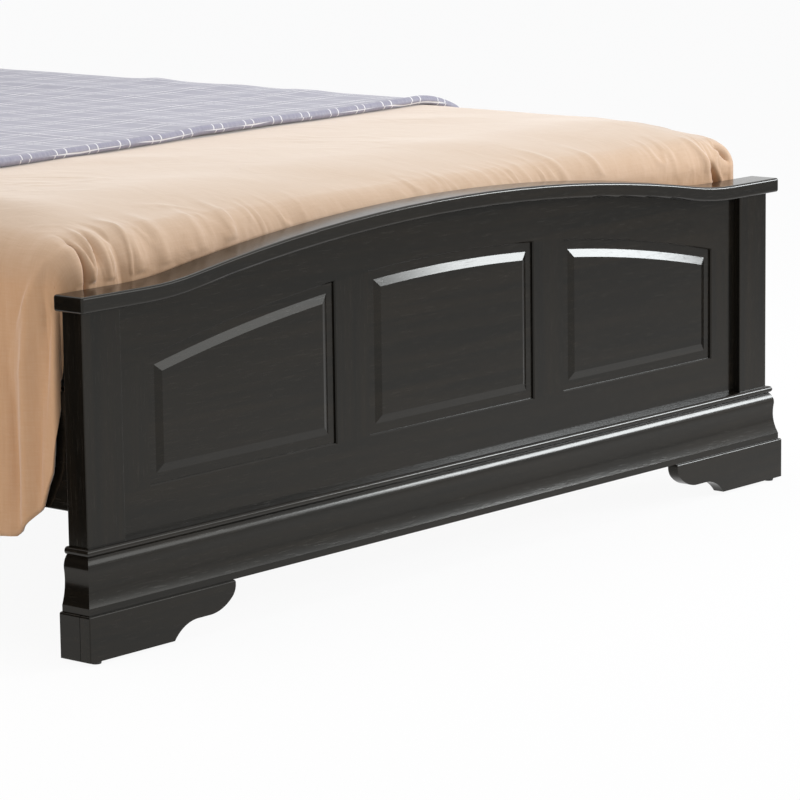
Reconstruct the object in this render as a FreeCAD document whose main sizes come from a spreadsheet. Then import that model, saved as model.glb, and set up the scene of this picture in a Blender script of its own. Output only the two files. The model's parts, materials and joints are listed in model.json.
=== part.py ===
# Panel bed with an arched, three-panel footboard on a moulded base with bracket
# feet, a taller headboard in the same style, hook-on side rails, slats with
# centre legs, and a foundation, a mattress and covers that lift off.
# Millimetres, +Z up, the foot of the bed towards -Y, the floor at Z = 0.
import FreeCAD, Part
import math
import os

import Sketcher

V = FreeCAD.Vector
doc = FreeCAD.newDocument("panel_bed")

# ---------------------------------------------------------------- sizes
sizeList = [
    # corner posts
    ("post_span", 813.0, "centre line of the bed to the outer face of a post"),
    ("post_width", 75.6, "face width of a post"),
    ("post_depth", 38.0, "front to back"),
    ("post_proud", 12.0, "post face ahead of the frame face"),
    ("post_ease", 1.5, "rounding of the long edges"),
    ("glide_height", 5.0, "nail-on glide under each foot"),
    ("glide_radius", 9.0, "glide radius"),
    # cap board
    ("cap_half", 827.0, "half length of the cap"),
    ("cap_depth", 57.0, "front to back"),
    ("cap_front", 28.0, "cap edge ahead of the frame face"),
    ("cap_thick", 23.5, "thickness of the cap board"),
    ("cap_end_top", 518.0, "top of the cap over the foot posts"),
    ("cap_rise", 56.5, "rise of the arch above the ends"),
    ("cap_sweep", 3700.0, "radius of the arch"),
    ("cap_hollow", 650.0, "radius of the hollow between arch and flat end"),
    ("cap_ease", 4.0, "rounding of the cap edges"),
    # panelled frame
    ("frame_depth", 22.0, "thickness of rails and stiles"),
    ("open_low", 228.5, "lower edge of the panel openings"),
    ("open_apex", 483.5, "crown of the arch over the openings"),
    ("open_sweep", 3150.0, "radius of that arch"),
    ("open_inner", 197.0, "half width of the centre opening"),
    ("mullion_width", 77.5, "upright between two openings"),
    ("open_outer", 671.5, "outer edge of the outer openings"),
    ("open_ease", 1.8, "eased front edge of the openings"),
    ("groove_deep", 9.0, "groove that holds the panels"),
    ("panel_set", 4.0, "panel margin behind the frame face"),
    ("panel_thick", 8.0, "thickness of the panel margin"),
    ("panel_margin", 14.7, "flat margin round the raised field"),
    ("panel_bevel", 12.5, "width of the bevel up to the field"),
    ("panel_play", 0.5, "room for the panel in its groove"),
    # base moulding
    ("base_low", 71.0, "underside of the base moulding"),
    ("base_top", 162.0, "ledge on top of the base moulding"),
    ("bead_radius", 5.5, "bead along the top"),
    ("bead_out", 2.7, "centre of the bead ahead of the post face"),
    ("ogee_out", 10.4, "fullest point of the round"),
    ("ogee_mid", 134.1, "height of that point"),
    ("ogee_round", 24.0, "radius of the round"),
    ("cove_in", 9.0, "deepest point of the cove"),
    ("cove_mid", 115.8, "height of that point"),
    ("cove_round", 98.6, "radius of the cove"),
    ("fillet_out", 15.5, "flat fillet along the bottom"),
    ("fillet_top", 81.0, "top of that fillet"),
    # bracket feet
    ("foot_thick", 20.0, "thickness of the bracket boards"),
    ("foot_ease", 3.0, "rounded top edge of the bracket boards"),
    ("toe_in", 664.0, "inner end of the flat sole"),
    ("cut_in", 615.0, "inner end of the hollow cut"),
    ("cut_high", 24.3, "height of the shelf of the scroll above the sole"),
    ("cut_round", 62.0, "radius of the hollow cut"),
    ("lobe_start", 590.0, "start of the lobe"),
    ("lobe_join_x", 543.2, "where the large arc of the lobe meets the small one"),
    ("lobe_join_up", 42.3, "height of that point above the sole"),
    ("lobe_large", 70.0, "large radius of the lobe"),
    ("lobe_small", 24.0, "small radius of the lobe"),
    ("lobe_end", 535.9, "top inner end of the lobe"),
    # headboard
    ("head_raise", 606.0, "how much higher the headboard cap sits"),
    ("head_open_low", 600.0, "lower edge of the headboard openings"),
    ("head_rail_low", 430.0, "underside of the lower headboard rail"),
    # side rails and their hooks
    ("rail_length", 2066.0, "between the posts"),
    ("rail_out", 800.0, "outer face of a side rail"),
    ("rail_thick", 25.0, "rail thickness"),
    ("rail_low", 207.0, "lower edge of the rail"),
    ("rail_height", 170.0, "height of the rail"),
    ("ledger_low", 217.0, "underside of the slat ledger"),
    ("ledger_wide", 25.0, "ledger width"),
    ("ledger_high", 30.0, "ledger height"),
    ("ledger_inset", 64.0, "ledger end back from the rail end"),
    ("plate_thick", 2.5, "steel of the hook and catch plates"),
    ("plate_low", 244.0, "lower end of the plates"),
    ("plate_high", 94.0, "height of the plates"),
    ("plate_long", 50.0, "hook plate along the rail"),
    ("catch_wide", 20.0, "width of a catch plate"),
    ("slot_low", 262.0, "lower edge of the lower slot"),
    ("slot_high", 22.0, "height of a slot"),
    ("slot_step", 44.0, "distance between the two slots"),
    ("hook_neck", 14.0, "height of a hook neck"),
    ("hook_drop", 7.0, "hook lip below the neck"),
    ("hook_reach", 10.0, "hook beyond the rail end"),
    # slats and centre legs
    ("slat_wide", 90.0, "slat width"),
    ("slat_thick", 20.0, "slat thickness"),
    ("slat_half", 772.0, "half length of a slat"),
    ("slat_step", 680.0, "slat to slat"),
    ("leg_side", 45.0, "square centre leg"),
    ("leg_low", 30.0, "lower end of a leg"),
    ("bore_deep", 50.0, "leveller bore"),
    ("stem_radius", 5.0, "leveller stem"),
    ("stem_play", 0.06, "clearance round the stem"),
    ("stem_high", 62.0, "top of the stem"),
    ("pad_radius", 16.0, "leveller pad"),
    ("pad_high", 6.0, "leveller pad height"),
    # foundation, mattress and covers
    ("base_half", 758.0, "half width of the foundation"),
    ("base_gap", 15.0, "foundation behind the post line"),
    ("base_high", 130.0, "foundation height"),
    ("base_wall", 15.0, "frame and cover round the foundation's hollow"),
    ("rest_gap", 0.3, "gap between pieces that rest on each other"),
    ("bed_half", 762.0, "half width of the mattress"),
    ("bed_long", 2032.0, "mattress length"),
    ("bed_gap", 14.0, "mattress behind the post line"),
    ("bed_top", 600.7, "top of the mattress inside its soft ends"),
    ("bed_fall", 31.0, "how much lower the top is at the foot and the head"),
    ("bed_soft", 225.0, "length over which the top falls to an end"),
    ("bed_crown", 9.0, "rise of the middle over the long edges"),
    ("corner_round", 45.0, "upright corners of the mattress"),
    ("edge_round", 18.0, "lower edges of the mattress"),
    ("foot_roll", 18.0, "how the blanket turns down at the foot"),
    ("cover_round", 60.0, "how the covers turn over the long edges"),
    ("cover_tight", 38.0, "the same at the foot and the head"),
    ("bed_wall", 20.0, "padding round the mattress's spring core"),
    ("cover_front", 31.0, "front of the blanket behind the frame face"),
    ("cover_thick", 8.0, "thickness of the blanket"),
    ("cover_end", 2040.0, "head end of the blanket"),
    ("cover_hem", 154.0, "hem of the blanket above the floor"),
    ("cover_tuck", 440.0, "lower edge of the front drop"),
    ("cover_side", 803.8, "inside of the side drop at the rail"),
    ("cover_fold", 15.0, "how far a fold stands out at the hem"),
    ("quilt_start", 585.0, "foot edge of the quilt"),
    ("quilt_lean", 0.07, "slant of that edge across the bed"),
    ("quilt_end", 2036.0, "head end of the quilt"),
    ("quilt_thick", 11.0, "thickness of the quilt"),
    ("quilt_hem", 196.0, "hem of the quilt above the floor"),
    ("quilt_fold", 9.0, "how far its folds stand out"),
]
sheet = doc.addObject("Spreadsheet::Sheet", "Sizes")
plain = {}
for row, (name, value, note) in enumerate(sizeList, start=1):
    sheet.set("A%d" % row, note)
    sheet.set("B%d" % row, "%g" % value)
    sheet.setAlias("B%d" % row, name)
    plain[name] = value
doc.recompute()


class Size:
    """A length with its number and the sheet expression that drives it."""

    def __init__(self, value, text):
        self.value = float(value)
        self.text = text

    def __add__(self, other):
        other = asSize(other)
        return Size(self.value + other.value, "(%s + %s)" % (self.text, other.text))

    def __sub__(self, other):
        other = asSize(other)
        return Size(self.value - other.value, "(%s - %s)" % (self.text, other.text))

    def __mul__(self, other):
        other = asSize(other)
        return Size(self.value * other.value, "(%s * %s)" % (self.text, other.text))

    def __truediv__(self, other):
        other = asSize(other)
        return Size(self.value / other.value, "(%s / %s)" % (self.text, other.text))

    def __rsub__(self, other):
        return asSize(other) - self

    def __radd__(self, other):
        return asSize(other) + self

    def __rmul__(self, other):
        return asSize(other) * self

    def __neg__(self):
        return Size(-self.value, "(0 - %s)" % self.text)

    def root(self):
        return Size(math.sqrt(self.value), "sqrt(%s)" % self.text)


def asSize(thing):
    if isinstance(thing, Size):
        return thing
    return Size(thing, "(%r)" % float(thing))


def size(name):
    return Size(plain[name], "Sizes.%s" % name)


# ------------------------------------------------------- drawing helpers
def newBody(name):
    body = doc.addObject("PartDesign::Body", name)
    body.Label = name
    return body


def place(thing, x=0.0, y=0.0, z=0.0):
    """Sets where a piece stands; Y is counted from the face of the foot frame."""
    thing.setExpression("Placement.Base.x", asSize(x).text)
    thing.setExpression("Placement.Base.y", (asSize(y) + middle).text)
    thing.setExpression("Placement.Base.z", asSize(z).text)
    return thing


def newSketch(body, role, offset=0.0):
    sketch = body.newObject("Sketcher::SketchObject", body.Name + "_sketch")
    plane = [item for item in body.Origin.OriginFeatures if item.Role == role][0]
    sketch.AttachmentSupport = [(plane, "")]
    sketch.MapMode = "FlatFace"
    sketch.setExpression("AttachmentOffset.Base.z", asSize(offset).text)
    return sketch


def closedLine(sketch, steps):
    """Draws a closed outline.

    A step is (x, y) for a straight edge to that point, or (x, y, radius, side)
    for an arc to it, its centre to the left or the right of the way travelled.
    The outline starts at the last point, and every corner and radius is bound.
    """
    steps = [tuple(asSize(v) if not isinstance(v, str) else v for v in s) for s in steps]
    marks = []
    for index, step in enumerate(steps):
        last = steps[index - 1]
        a = V(last[0].value, last[1].value, 0)
        b = V(step[0].value, step[1].value, 0)
        if len(step) == 2:
            number = sketch.addGeometry(Part.LineSegment(a, b), False)
            marks.append((number, 1, 2, None))
            continue
        radius = step[2]
        way = (b - a).normalize()
        left = V(-way.y, way.x, 0)
        lift = math.sqrt(radius.value ** 2 - (a.distanceToPoint(b) / 2) ** 2)
        middlePoint = (a + b) * 0.5
        if step[3] == "left":
            centre = middlePoint + left * lift
            start, end = a, b
        else:
            centre = middlePoint - left * lift
            start, end = b, a
        turn0 = math.atan2(start.y - centre.y, start.x - centre.x)
        turn1 = math.atan2(end.y - centre.y, end.x - centre.x)
        circle = Part.Circle(centre, V(0, 0, 1), radius.value)
        number = sketch.addGeometry(Part.ArcOfCircle(circle, turn0, turn1), False)
        if step[3] == "left":
            marks.append((number, 1, 2, radius))
        else:
            marks.append((number, 2, 1, radius))
    for index, (number, first, second, radius) in enumerate(marks):
        before = marks[index - 1]
        sketch.addConstraint(Sketcher.Constraint("Coincident", before[0], before[2], number, first))
        point = steps[index - 1]
        for kind, length in (("DistanceX", point[0]), ("DistanceY", point[1])):
            rule = Sketcher.Constraint(kind, -1, 1, number, first, length.value)
            sketch.setExpression("Constraints[%d]" % sketch.addConstraint(rule), length.text)
        if radius is not None:
            rule = Sketcher.Constraint("Radius", number, radius.value)
            sketch.setExpression("Constraints[%d]" % sketch.addConstraint(rule), radius.text)
    return sketch


def pad(body, sketch, length, backward=False):
    feature = body.newObject("PartDesign::Pad", body.Name + "_pad")
    feature.Profile = sketch
    feature.Reversed = backward
    feature.setExpression("Length", asSize(length).text)
    sketch.Visibility = False
    return feature


def pocket(body, sketch, length, backward=False):
    """Cuts a sketch into the body, and fails if nothing comes off."""
    doc.recompute()
    before = body.Shape.Volume
    feature = body.newObject("PartDesign::Pocket", body.Name + "_pocket")
    feature.Profile = sketch
    feature.Reversed = backward
    feature.setExpression("Length", asSize(length).text)
    doc.recompute()
    if body.Shape.Volume > before - 1.0:
        raise RuntimeError("nothing was cut from " + body.Name)
    return feature


def soften(body, radius, wanted):
    """Rounds the edges of the body's tip for which wanted(edge) holds."""
    doc.recompute()
    tip = body.Tip
    names = ["Edge%d" % (i + 1) for i, e in enumerate(tip.Shape.Edges) if wanted(e)]
    feature = body.newObject("PartDesign::Fillet", body.Name + "_fillet")
    feature.Base = (tip, names)
    feature.setExpression("Radius", asSize(radius).text)
    return feature


def alongZ(edge):
    box = edge.BoundBox
    return box.ZLength > 1 and box.XLength < 0.01 and box.YLength < 0.01


def cutAway(name, base, tools):
    """A piece made by cutting the given shapes from a plain one."""
    group = doc.addObject("Part::Compound", name + "_tools")
    group.Links = tools
    cut = doc.addObject("Part::Cut", name)
    cut.Label = name
    cut.Base = base
    cut.Tool = group
    return cut


def block(name, low, high):
    """A plain box between two corners, bound to the sheet."""
    box = doc.addObject("Part::Box", name)
    box.Label = name
    low = [asSize(v) for v in low]
    high = [asSize(v) for v in high]
    for key, a, b in zip(("Length", "Width", "Height"), low, high):
        box.setExpression(key, (b - a).text)
    for key, a in zip("xyz", low):
        box.setExpression("Placement.Base." + key, a.text)
    return box


def placedBlock(name, low, high):
    low = [asSize(v) for v in low]
    high = [asSize(v) for v in high]
    low[1] = low[1] + middle
    high[1] = high[1] + middle
    return block(name, low, high)


pieces = []

# The origin is the middle of the footprint: the bracket feet are foremost and
# the back of the headboard cap is rearmost.
span = size("post_span")
proud = size("post_proud")
depth = size("post_depth")
footFront = -(proud + size("foot_thick"))
postBack = depth - proud
headLine = postBack + size("rail_length")
headFace = headLine + proud
headBack = headFace - size("cap_front") + size("cap_depth")
middle = -(footFront + headBack) / 2
inner = span - size("post_width")


# ------------------------------------------------------------- cap board
def capOutline(below, thick):
    """Half points of the arch: the outline is the same curve at two depths."""
    big = size("cap_sweep") - below
    small = size("cap_hollow") + below
    rise = size("cap_rise")
    both = size("cap_sweep") + size("cap_hollow")
    foot = (2 * rise * both - rise * rise).root()
    level = size("cap_end_top") - below
    joinX = foot * big / both
    centreZ = size("cap_end_top") + rise - size("cap_sweep")
    joinZ = centreZ + (big * big - joinX * joinX).root()
    return big, small, foot, level, joinX, joinZ


def makeCap(name, lift, face):
    body = newBody(name)
    sketch = newSketch(body, "XZ_Plane")
    half = size("cap_half")
    big, small, foot, level, joinX, joinZ = capOutline(asSize(0), None)
    steps = [(-half, level), (-foot, level), (-joinX, joinZ, small, "left"),
             (joinX, joinZ, big, "right"), (foot, level, small, "left"), (half, level)]
    big, small, foot, level, joinX, joinZ = capOutline(size("cap_thick"), None)
    steps += [(half, level), (foot, level), (joinX, joinZ, small, "right"),
              (-joinX, joinZ, big, "left"), (-foot, level, small, "right"), (-half, level)]
    closedLine(sketch, steps)
    pad(body, sketch, size("cap_depth"), True)
    edge = half.value
    wide = size("cap_depth").value

    def outer(e):
        box = e.BoundBox
        lies = abs(box.YMin - box.YMax) < 0.01 and (abs(box.YMin) < 0.01 or abs(box.YMin - wide) < 0.01)
        end = box.XLength < 0.01 and abs(abs(box.XMin) - edge) < 0.01 and box.YLength > 1
        return lies or end

    soften(body, size("cap_ease"), outer)
    place(body, 0, face - size("cap_front"), lift)
    pieces.append(body)


# --------------------------------------------------- panels and the frame
def archPoints(low, left, right, spread, lift):
    """A panel opening grown by spread: sides, sill and the arch above."""
    radius = size("open_sweep") + spread
    centreZ = size("open_apex") + lift - size("open_sweep")
    a = left - spread
    b = right + spread
    topA = centreZ + (radius * radius - a * a).root()
    topB = centreZ + (radius * radius - b * b).root()
    return [(a, low - spread), (b, low - spread), (b, topB), (a, topA, radius, "left")]


def makePanel(name, low, left, right, lift, face):
    body = newBody(name)
    setBack = size("panel_set")
    outline = newSketch(body, "XZ_Plane", -setBack)
    closedLine(outline, archPoints(low, left, right, size("groove_deep") - size("panel_play"), lift))
    pad(body, outline, size("panel_thick"), True)
    wide = newSketch(body, "XZ_Plane", -setBack)
    closedLine(wide, archPoints(low, left, right, -size("panel_margin"), lift))
    narrow = newSketch(body, "XZ_Plane", 0)
    spread = -(size("panel_margin") + size("panel_bevel"))
    closedLine(narrow, archPoints(low, left, right, spread, lift))
    loft = body.newObject("PartDesign::AdditiveLoft", name + "_field")
    loft.Profile = wide
    loft.Sections = [narrow]
    loft.Ruled = True
    place(body, 0, face)
    pieces.append(body)


def makeCutters(name, low, left, right, lift):
    """The groove round one opening and the eased front edge of its frame."""
    groove = newBody(name + "_groove")
    sketch = newSketch(groove, "XZ_Plane", -size("panel_set"))
    closedLine(sketch, archPoints(low, left, right, size("groove_deep"), lift))
    pad(groove, sketch, size("panel_thick"), True)
    ease = newBody(name + "_ease")
    near = newSketch(ease, "XZ_Plane", size("open_ease"))
    closedLine(near, archPoints(low, left, right, size("open_ease") * 2, lift))
    far = newSketch(ease, "XZ_Plane", -size("open_ease"))
    closedLine(far, archPoints(low, left, right, asSize(0), lift))
    loft = ease.newObject("PartDesign::AdditiveLoft", name + "_bevel")
    loft.Profile = near
    loft.Sections = [far]
    loft.Ruled = True
    return [groove, ease]


def makeFrame(prefix, low, railLow, lift, face):
    """Lower rail, arched upper rail, four uprights, three raised panels and cap."""
    centre = size("open_inner")
    step = centre + size("mullion_width")
    outer = size("open_outer")
    spans = [("left", -outer, -step), ("centre", -centre, centre), ("right", step, outer)]
    tools = []
    for side, a, b in spans:
        makePanel("%s_panel_%s" % (prefix, side), low, a, b, lift, face)
        tools += makeCutters("%s_%s" % (prefix, side), low, a, b, lift)
    uprights = [("stile_left", -inner, -outer), ("mullion_left", -step, -centre),
                ("mullion_right", centre, step), ("stile_right", outer, inner)]
    for title, a, b in uprights:
        name = "%s_%s" % (prefix, title)
        body = newBody(name + "_blank")
        sketch = newSketch(body, "XZ_Plane")
        closedLine(sketch, archPoints(low, a, b, asSize(0), lift))
        pad(body, sketch, size("frame_depth"), True)
        pieces.append(place(cutAway(name, body, tools), 0, face))
    name = prefix + "_rail_lower"
    blank = block(name + "_blank", (-inner, 0, railLow), (inner, size("frame_depth"), low))
    pieces.append(place(cutAway(name, blank, tools), 0, face))
    name = prefix + "_rail_upper"
    body = newBody(name + "_blank")
    sketch = newSketch(body, "XZ_Plane")
    big, small, foot, level, joinX, joinZ = capOutline(size("cap_thick"), None)
    level = level + lift
    joinZ = joinZ + lift
    radius = size("open_sweep")
    corner = size("open_apex") + lift - radius + (radius * radius - inner * inner).root()
    steps = [(-inner, corner), (inner, corner, radius, "right"), (inner, level), (foot, level),
             (joinX, joinZ, small, "right"), (-joinX, joinZ, big, "left"),
             (-foot, level, small, "right"), (-inner, level)]
    closedLine(sketch, steps)
    pad(body, sketch, size("frame_depth"), True)
    pieces.append(place(cutAway(name, body, tools), 0, face))
    makeCap(prefix + "_cap", lift, face)


# ---------------------------------------------------------- corner posts
def makePost(name, side, front, top, catchFace, outward):
    """A post with the recess and the two mortises for its catch plate."""
    body = newBody(name + "_blank")
    sketch = newSketch(body, "XY_Plane", size("glide_height"))
    a = side * inner
    b = side * span
    closedLine(sketch, [(a, front), (b, front), (b, front + depth), (a, front + depth)])
    pad(body, sketch, top - size("glide_height"))
    soften(body, size("post_ease"), alongZ)
    centre = side * (size("rail_out") - size("rail_thick"))
    half = size("catch_wide") / 2
    thick = size("plate_thick")
    low = size("plate_low")
    back = catchFace - outward * thick
    deep = back - outward * 12
    tools = [spanBlock(name + "_recess", centre - half, centre + half, catchFace, back,
                       low, low + size("plate_high"))]
    for number in (0, 1):
        slot = size("slot_low") + number * size("slot_step")
        tools.append(spanBlock("%s_mortise_%d" % (name, number), centre - 5, centre + 5, back, deep,
                               slot - 11, slot + size("slot_high") + 2))
    pieces.append(place(cutAway(name, body, tools), 0, 0))


def spanBlock(name, x0, x1, y0, y1, z0, z1):
    """A box given by two faces each way, in any order."""
    x0, x1 = sorted((asSize(x0), asSize(x1)), key=lambda v: v.value)
    y0, y1 = sorted((asSize(y0), asSize(y1)), key=lambda v: v.value)
    return block(name, (x0, y0, z0), (x1, y1, z1))


def makeCatch(name, side, catchFace, outward):
    """Steel plate with two slots, let into the face of a post."""
    centre = side * (size("rail_out") - size("rail_thick"))
    half = size("catch_wide") / 2
    thick = size("plate_thick")
    low = size("plate_low")
    back = catchFace - outward * thick
    plate = spanBlock(name + "_blank", centre - half, centre + half, back, catchFace,
                      low, low + size("plate_high"))
    tools = []
    hookMiddle = centre - side * thick / 2
    for number in (0, 1):
        slot = size("slot_low") + number * size("slot_step")
        tools.append(spanBlock("%s_slot_%d" % (name, number), hookMiddle - 1.7, hookMiddle + 1.7,
                               back - outward * 1, catchFace + outward * 1,
                               slot, slot + size("slot_high")))
    pieces.append(place(cutAway(name, plate, tools), 0, 0))


def makeHook(name, side, end, outward):
    """Steel plate on the inside of a rail, with two hooks past the rail's end."""
    body = newBody(name)
    thick = size("plate_thick")
    inside = side * (size("rail_out") - size("rail_thick"))
    if side > 0:
        sketch = newSketch(body, "YZ_Plane", inside - thick)
    else:
        sketch = newSketch(body, "YZ_Plane", inside)
    low = size("plate_low")
    steps = [(end + outward * size("plate_long"), low), (end, low)]
    lip = end - outward * (thick + 0.8)
    tip = end - outward * size("hook_reach")
    for number in (0, 1):
        rest = size("slot_low") + number * size("slot_step")
        top = rest + size("hook_neck")
        steps += [(end, rest), (lip, rest), (lip, rest - size("hook_drop")),
                  (tip, rest - size("hook_drop")), (tip, top), (end, top)]
    steps += [(end, low + size("plate_high")),
              (end + outward * size("plate_long"), low + size("plate_high"))]
    closedLine(sketch, steps)
    pad(body, sketch, thick)
    place(body, 0, 0)
    pieces.append(body)


# --------------------------------------------------------- base moulding
def mouldingSteps(across, backOut, turn):
    """Bead, quirk, round, cove and fillet, from the ledge down to the bottom.

    across maps a projection ahead of the post face to the sketch's first axis,
    and turn is 1 where that axis grows outwards, else -1.
    """
    left, right = ("left", "right") if turn > 0 else ("right", "left")
    top = size("base_top")
    bead = size("bead_radius")
    beadOut = size("bead_out")
    roundR = size("ogee_round")
    coveR = size("cove_round")
    roundE = size("ogee_out") - roundR
    coveE = size("cove_in") + coveR
    neck = top - 2 * bead
    drop = neck - size("ogee_mid")
    neckOut = roundE + (roundR * roundR - drop * drop).root()
    share = roundR / (roundR + coveR)
    joinE = roundE + (coveE - roundE) * share
    joinZ = size("ogee_mid") + (size("cove_mid") - size("ogee_mid")) * share
    fillet = size("fillet_out")
    fall = size("cove_mid") - size("fillet_top")
    endOut = coveE - (coveR * coveR - fall * fall).root()
    return [
        (across(backOut), top),
        (across(beadOut), top),
        (across(beadOut + bead), top - bead, bead, right),
        (across(beadOut), neck, bead, right),
        (across(neckOut), neck),
        (across(joinE), joinZ, roundR, right),
        (across(endOut), size("fillet_top"), coveR, left),
        (across(fillet), size("fillet_top")),
        (across(fillet), size("base_low")),
        (across(backOut), size("base_low")),
    ]


def makeBase():
    """Front moulding with mitred ends, and the two returns round the posts."""
    body = newBody("base_moulding_front")
    reach = span + size("foot_thick")
    sketch = newSketch(body, "YZ_Plane", -reach)
    closedLine(sketch, mouldingSteps(lambda e: -(proud + e), -proud, -1))
    pad(body, sketch, reach * 2)
    for side in (-1, 1):
        plan = newSketch(body, "XY_Plane", size("base_low") - 5)
        far = proud + size("foot_thick") + 2
        closedLine(plan, [(side * inner, 5), (side * inner, -proud), (side * span, -proud),
                          (side * (span + far - proud), -far), (side * (reach + 5), -far),
                          (side * (reach + 5), 5)])
        pocket(body, plan, 120, True)
    place(body, 0, 0)
    pieces.append(body)
    for side, title in ((-1, "left"), (1, "right")):
        body = newBody("base_moulding_" + title)
        sketch = newSketch(body, "XZ_Plane", proud + size("foot_thick"))
        closedLine(sketch, mouldingSteps(lambda e: side * (span + e), asSize(0), side))
        pad(body, sketch, size("foot_thick") + depth, True)
        plan = newSketch(body, "XY_Plane", size("base_low") - 5)
        far = size("foot_thick") + 2
        closedLine(plan, [(side * (span - 5), -(proud - 5)), (side * (span + far), -(proud + far)),
                          (side * (span - 5), -(proud + far))])
        pocket(body, plan, 120, True)
        place(body, 0, 0)
        pieces.append(body)


# ---------------------------------------------------------- bracket feet
def makeFeet():
    sole = size("glide_height")
    top = size("base_low")
    thick = size("foot_thick")
    for side, title in ((-1, "left"), (1, "right")):
        body = newBody("foot_bracket_" + title)
        sketch = newSketch(body, "XZ_Plane", -footFront)
        bend, other = ("right", "left") if side < 0 else ("left", "right")
        shelf = sole + size("cut_high")
        steps = [
            (side * (span + thick), top),
            (side * (span + thick), sole),
            (side * size("toe_in"), sole),
            (side * size("cut_in"), shelf, size("cut_round"), bend),
            (side * size("lobe_start"), shelf),
            (side * size("lobe_join_x"), sole + size("lobe_join_up"), size("lobe_large"), other),
            (side * size("lobe_end"), top, size("lobe_small"), other),
        ]
        closedLine(sketch, steps)
        pad(body, sketch, thick, True)
        front = footFront.value
        high = top.value
        outer = (span + thick).value
        # The corner is eased, and so is the edge behind it where the side board butts.
        soften(body, size("post_ease"), lambda e: alongZ(e)
               and abs(abs(e.BoundBox.XMin) - outer) < 0.01)
        soften(body, size("foot_ease"), lambda e: e.BoundBox.ZMin > high - 0.01
               and e.BoundBox.XLength > 100 and abs(e.BoundBox.YMax - front) < 0.01)
        place(body, 0, 0)
        pieces.append(body)
        body = newBody("foot_return_" + title)
        sketch = newSketch(body, "XY_Plane", sole)
        closedLine(sketch, [(side * span, -proud), (side * (span + thick), -proud),
                            (side * (span + thick), postBack + 1), (side * span, postBack + 1)])
        pad(body, sketch, top - sole)
        edge = (span + thick).value
        soften(body, size("foot_ease"), lambda e: e.BoundBox.ZMin > high - 0.01
               and e.BoundBox.YLength > 10 and abs(abs(e.BoundBox.XMin) - edge) < 0.01)
        place(body, 0, 0)
        pieces.append(body)


def makeGlides():
    """Round nail-on glides: one under each front foot and each headboard post."""
    discs = []
    spots = [(side * (span - 2), proud * -1 - 8) for side in (-1, 1)]
    spots += [(side * (span - 30), postBack - 14) for side in (-1, 1)]
    spots += [(side * (span - size("post_width") / 2), headLine + depth / 2) for side in (-1, 1)]
    for number, (x, y) in enumerate(spots):
        disc = doc.addObject("Part::Cone", "glide_%d" % number)
        disc.setExpression("Radius1", (size("glide_radius") - 1.5).text)
        disc.setExpression("Radius2", size("glide_radius").text)
        disc.setExpression("Height", size("glide_height").text)
        disc.setExpression("Placement.Base.x", asSize(x).text)
        disc.setExpression("Placement.Base.y", asSize(y).text)
        discs.append(disc)
    group = doc.addObject("Part::Compound", "glides")
    group.Label = "glides"
    group.Links = discs
    pieces.append(place(group, 0, 0))


# ------------------------------------------------- rails, slats and legs
def makeRails():
    out = size("rail_out")
    thick = size("rail_thick")
    for side, title in ((-1, "left"), (1, "right")):
        body = newBody("side_rail_" + title)
        sketch = newSketch(body, "XZ_Plane", -postBack)
        low = size("rail_low")
        a = side * (out - thick)
        b = side * out
        closedLine(sketch, [(a, low), (b, low), (b, low + size("rail_height")),
                            (a, low + size("rail_height"))])
        pad(body, sketch, size("rail_length"), True)
        soften(body, 2, lambda e: e.BoundBox.YLength > 1000)
        place(body, 0, 0)
        pieces.append(body)
        inset = size("ledger_inset")
        x0, x1 = sorted((side * (out - thick), side * (out - thick - size("ledger_wide"))),
                        key=lambda v: v.value)
        pieces.append(placedBlock("ledger_" + title, (x0, postBack + inset, size("ledger_low")),
                                  (x1, headLine - inset, size("ledger_low") + size("ledger_high"))))


def makeSlats():
    top = size("ledger_low") + size("ledger_high")
    half = size("slat_half")
    for number, title in enumerate(("foot", "middle", "head")):
        centre = postBack + size("rail_length") / 2 + (number - 1) * size("slat_step")
        body = newBody("slat_" + title)
        sketch = newSketch(body, "XY_Plane", top)
        wide = size("slat_wide") / 2
        closedLine(sketch, [(-half, centre - wide), (half, centre - wide),
                            (half, centre + wide), (-half, centre + wide)])
        pad(body, sketch, size("slat_thick"))
        soften(body, 2, lambda e: e.BoundBox.XLength > 1000)
        place(body, 0, 0)
        pieces.append(body)
        leg = newBody("centre_leg_" + title)
        sketch = newSketch(leg, "XY_Plane", size("leg_low"))
        side = size("leg_side") / 2
        closedLine(sketch, [(-side, centre - side), (side, centre - side),
                            (side, centre + side), (-side, centre + side)])
        pad(leg, sketch, top - size("leg_low"))
        soften(leg, 3, alongZ)
        bore = doc.addObject("Part::Cylinder", "bore_" + title)
        bore.setExpression("Radius", (size("stem_radius") + size("stem_play")).text)
        bore.setExpression("Height", size("bore_deep").text)
        bore.setExpression("Placement.Base.y", centre.text)
        bore.setExpression("Placement.Base.z", size("leg_low").text)
        leg.Label = "centre_leg_%s_blank" % title
        cut = doc.addObject("Part::Cut", "centre_leg_%s_bored" % title)
        cut.Base = leg
        cut.Tool = bore
        cut.Label = "centre_leg_" + title
        pieces.append(place(cut, 0, 0))
        makeLeveller("leveller_" + title, centre)


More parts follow.
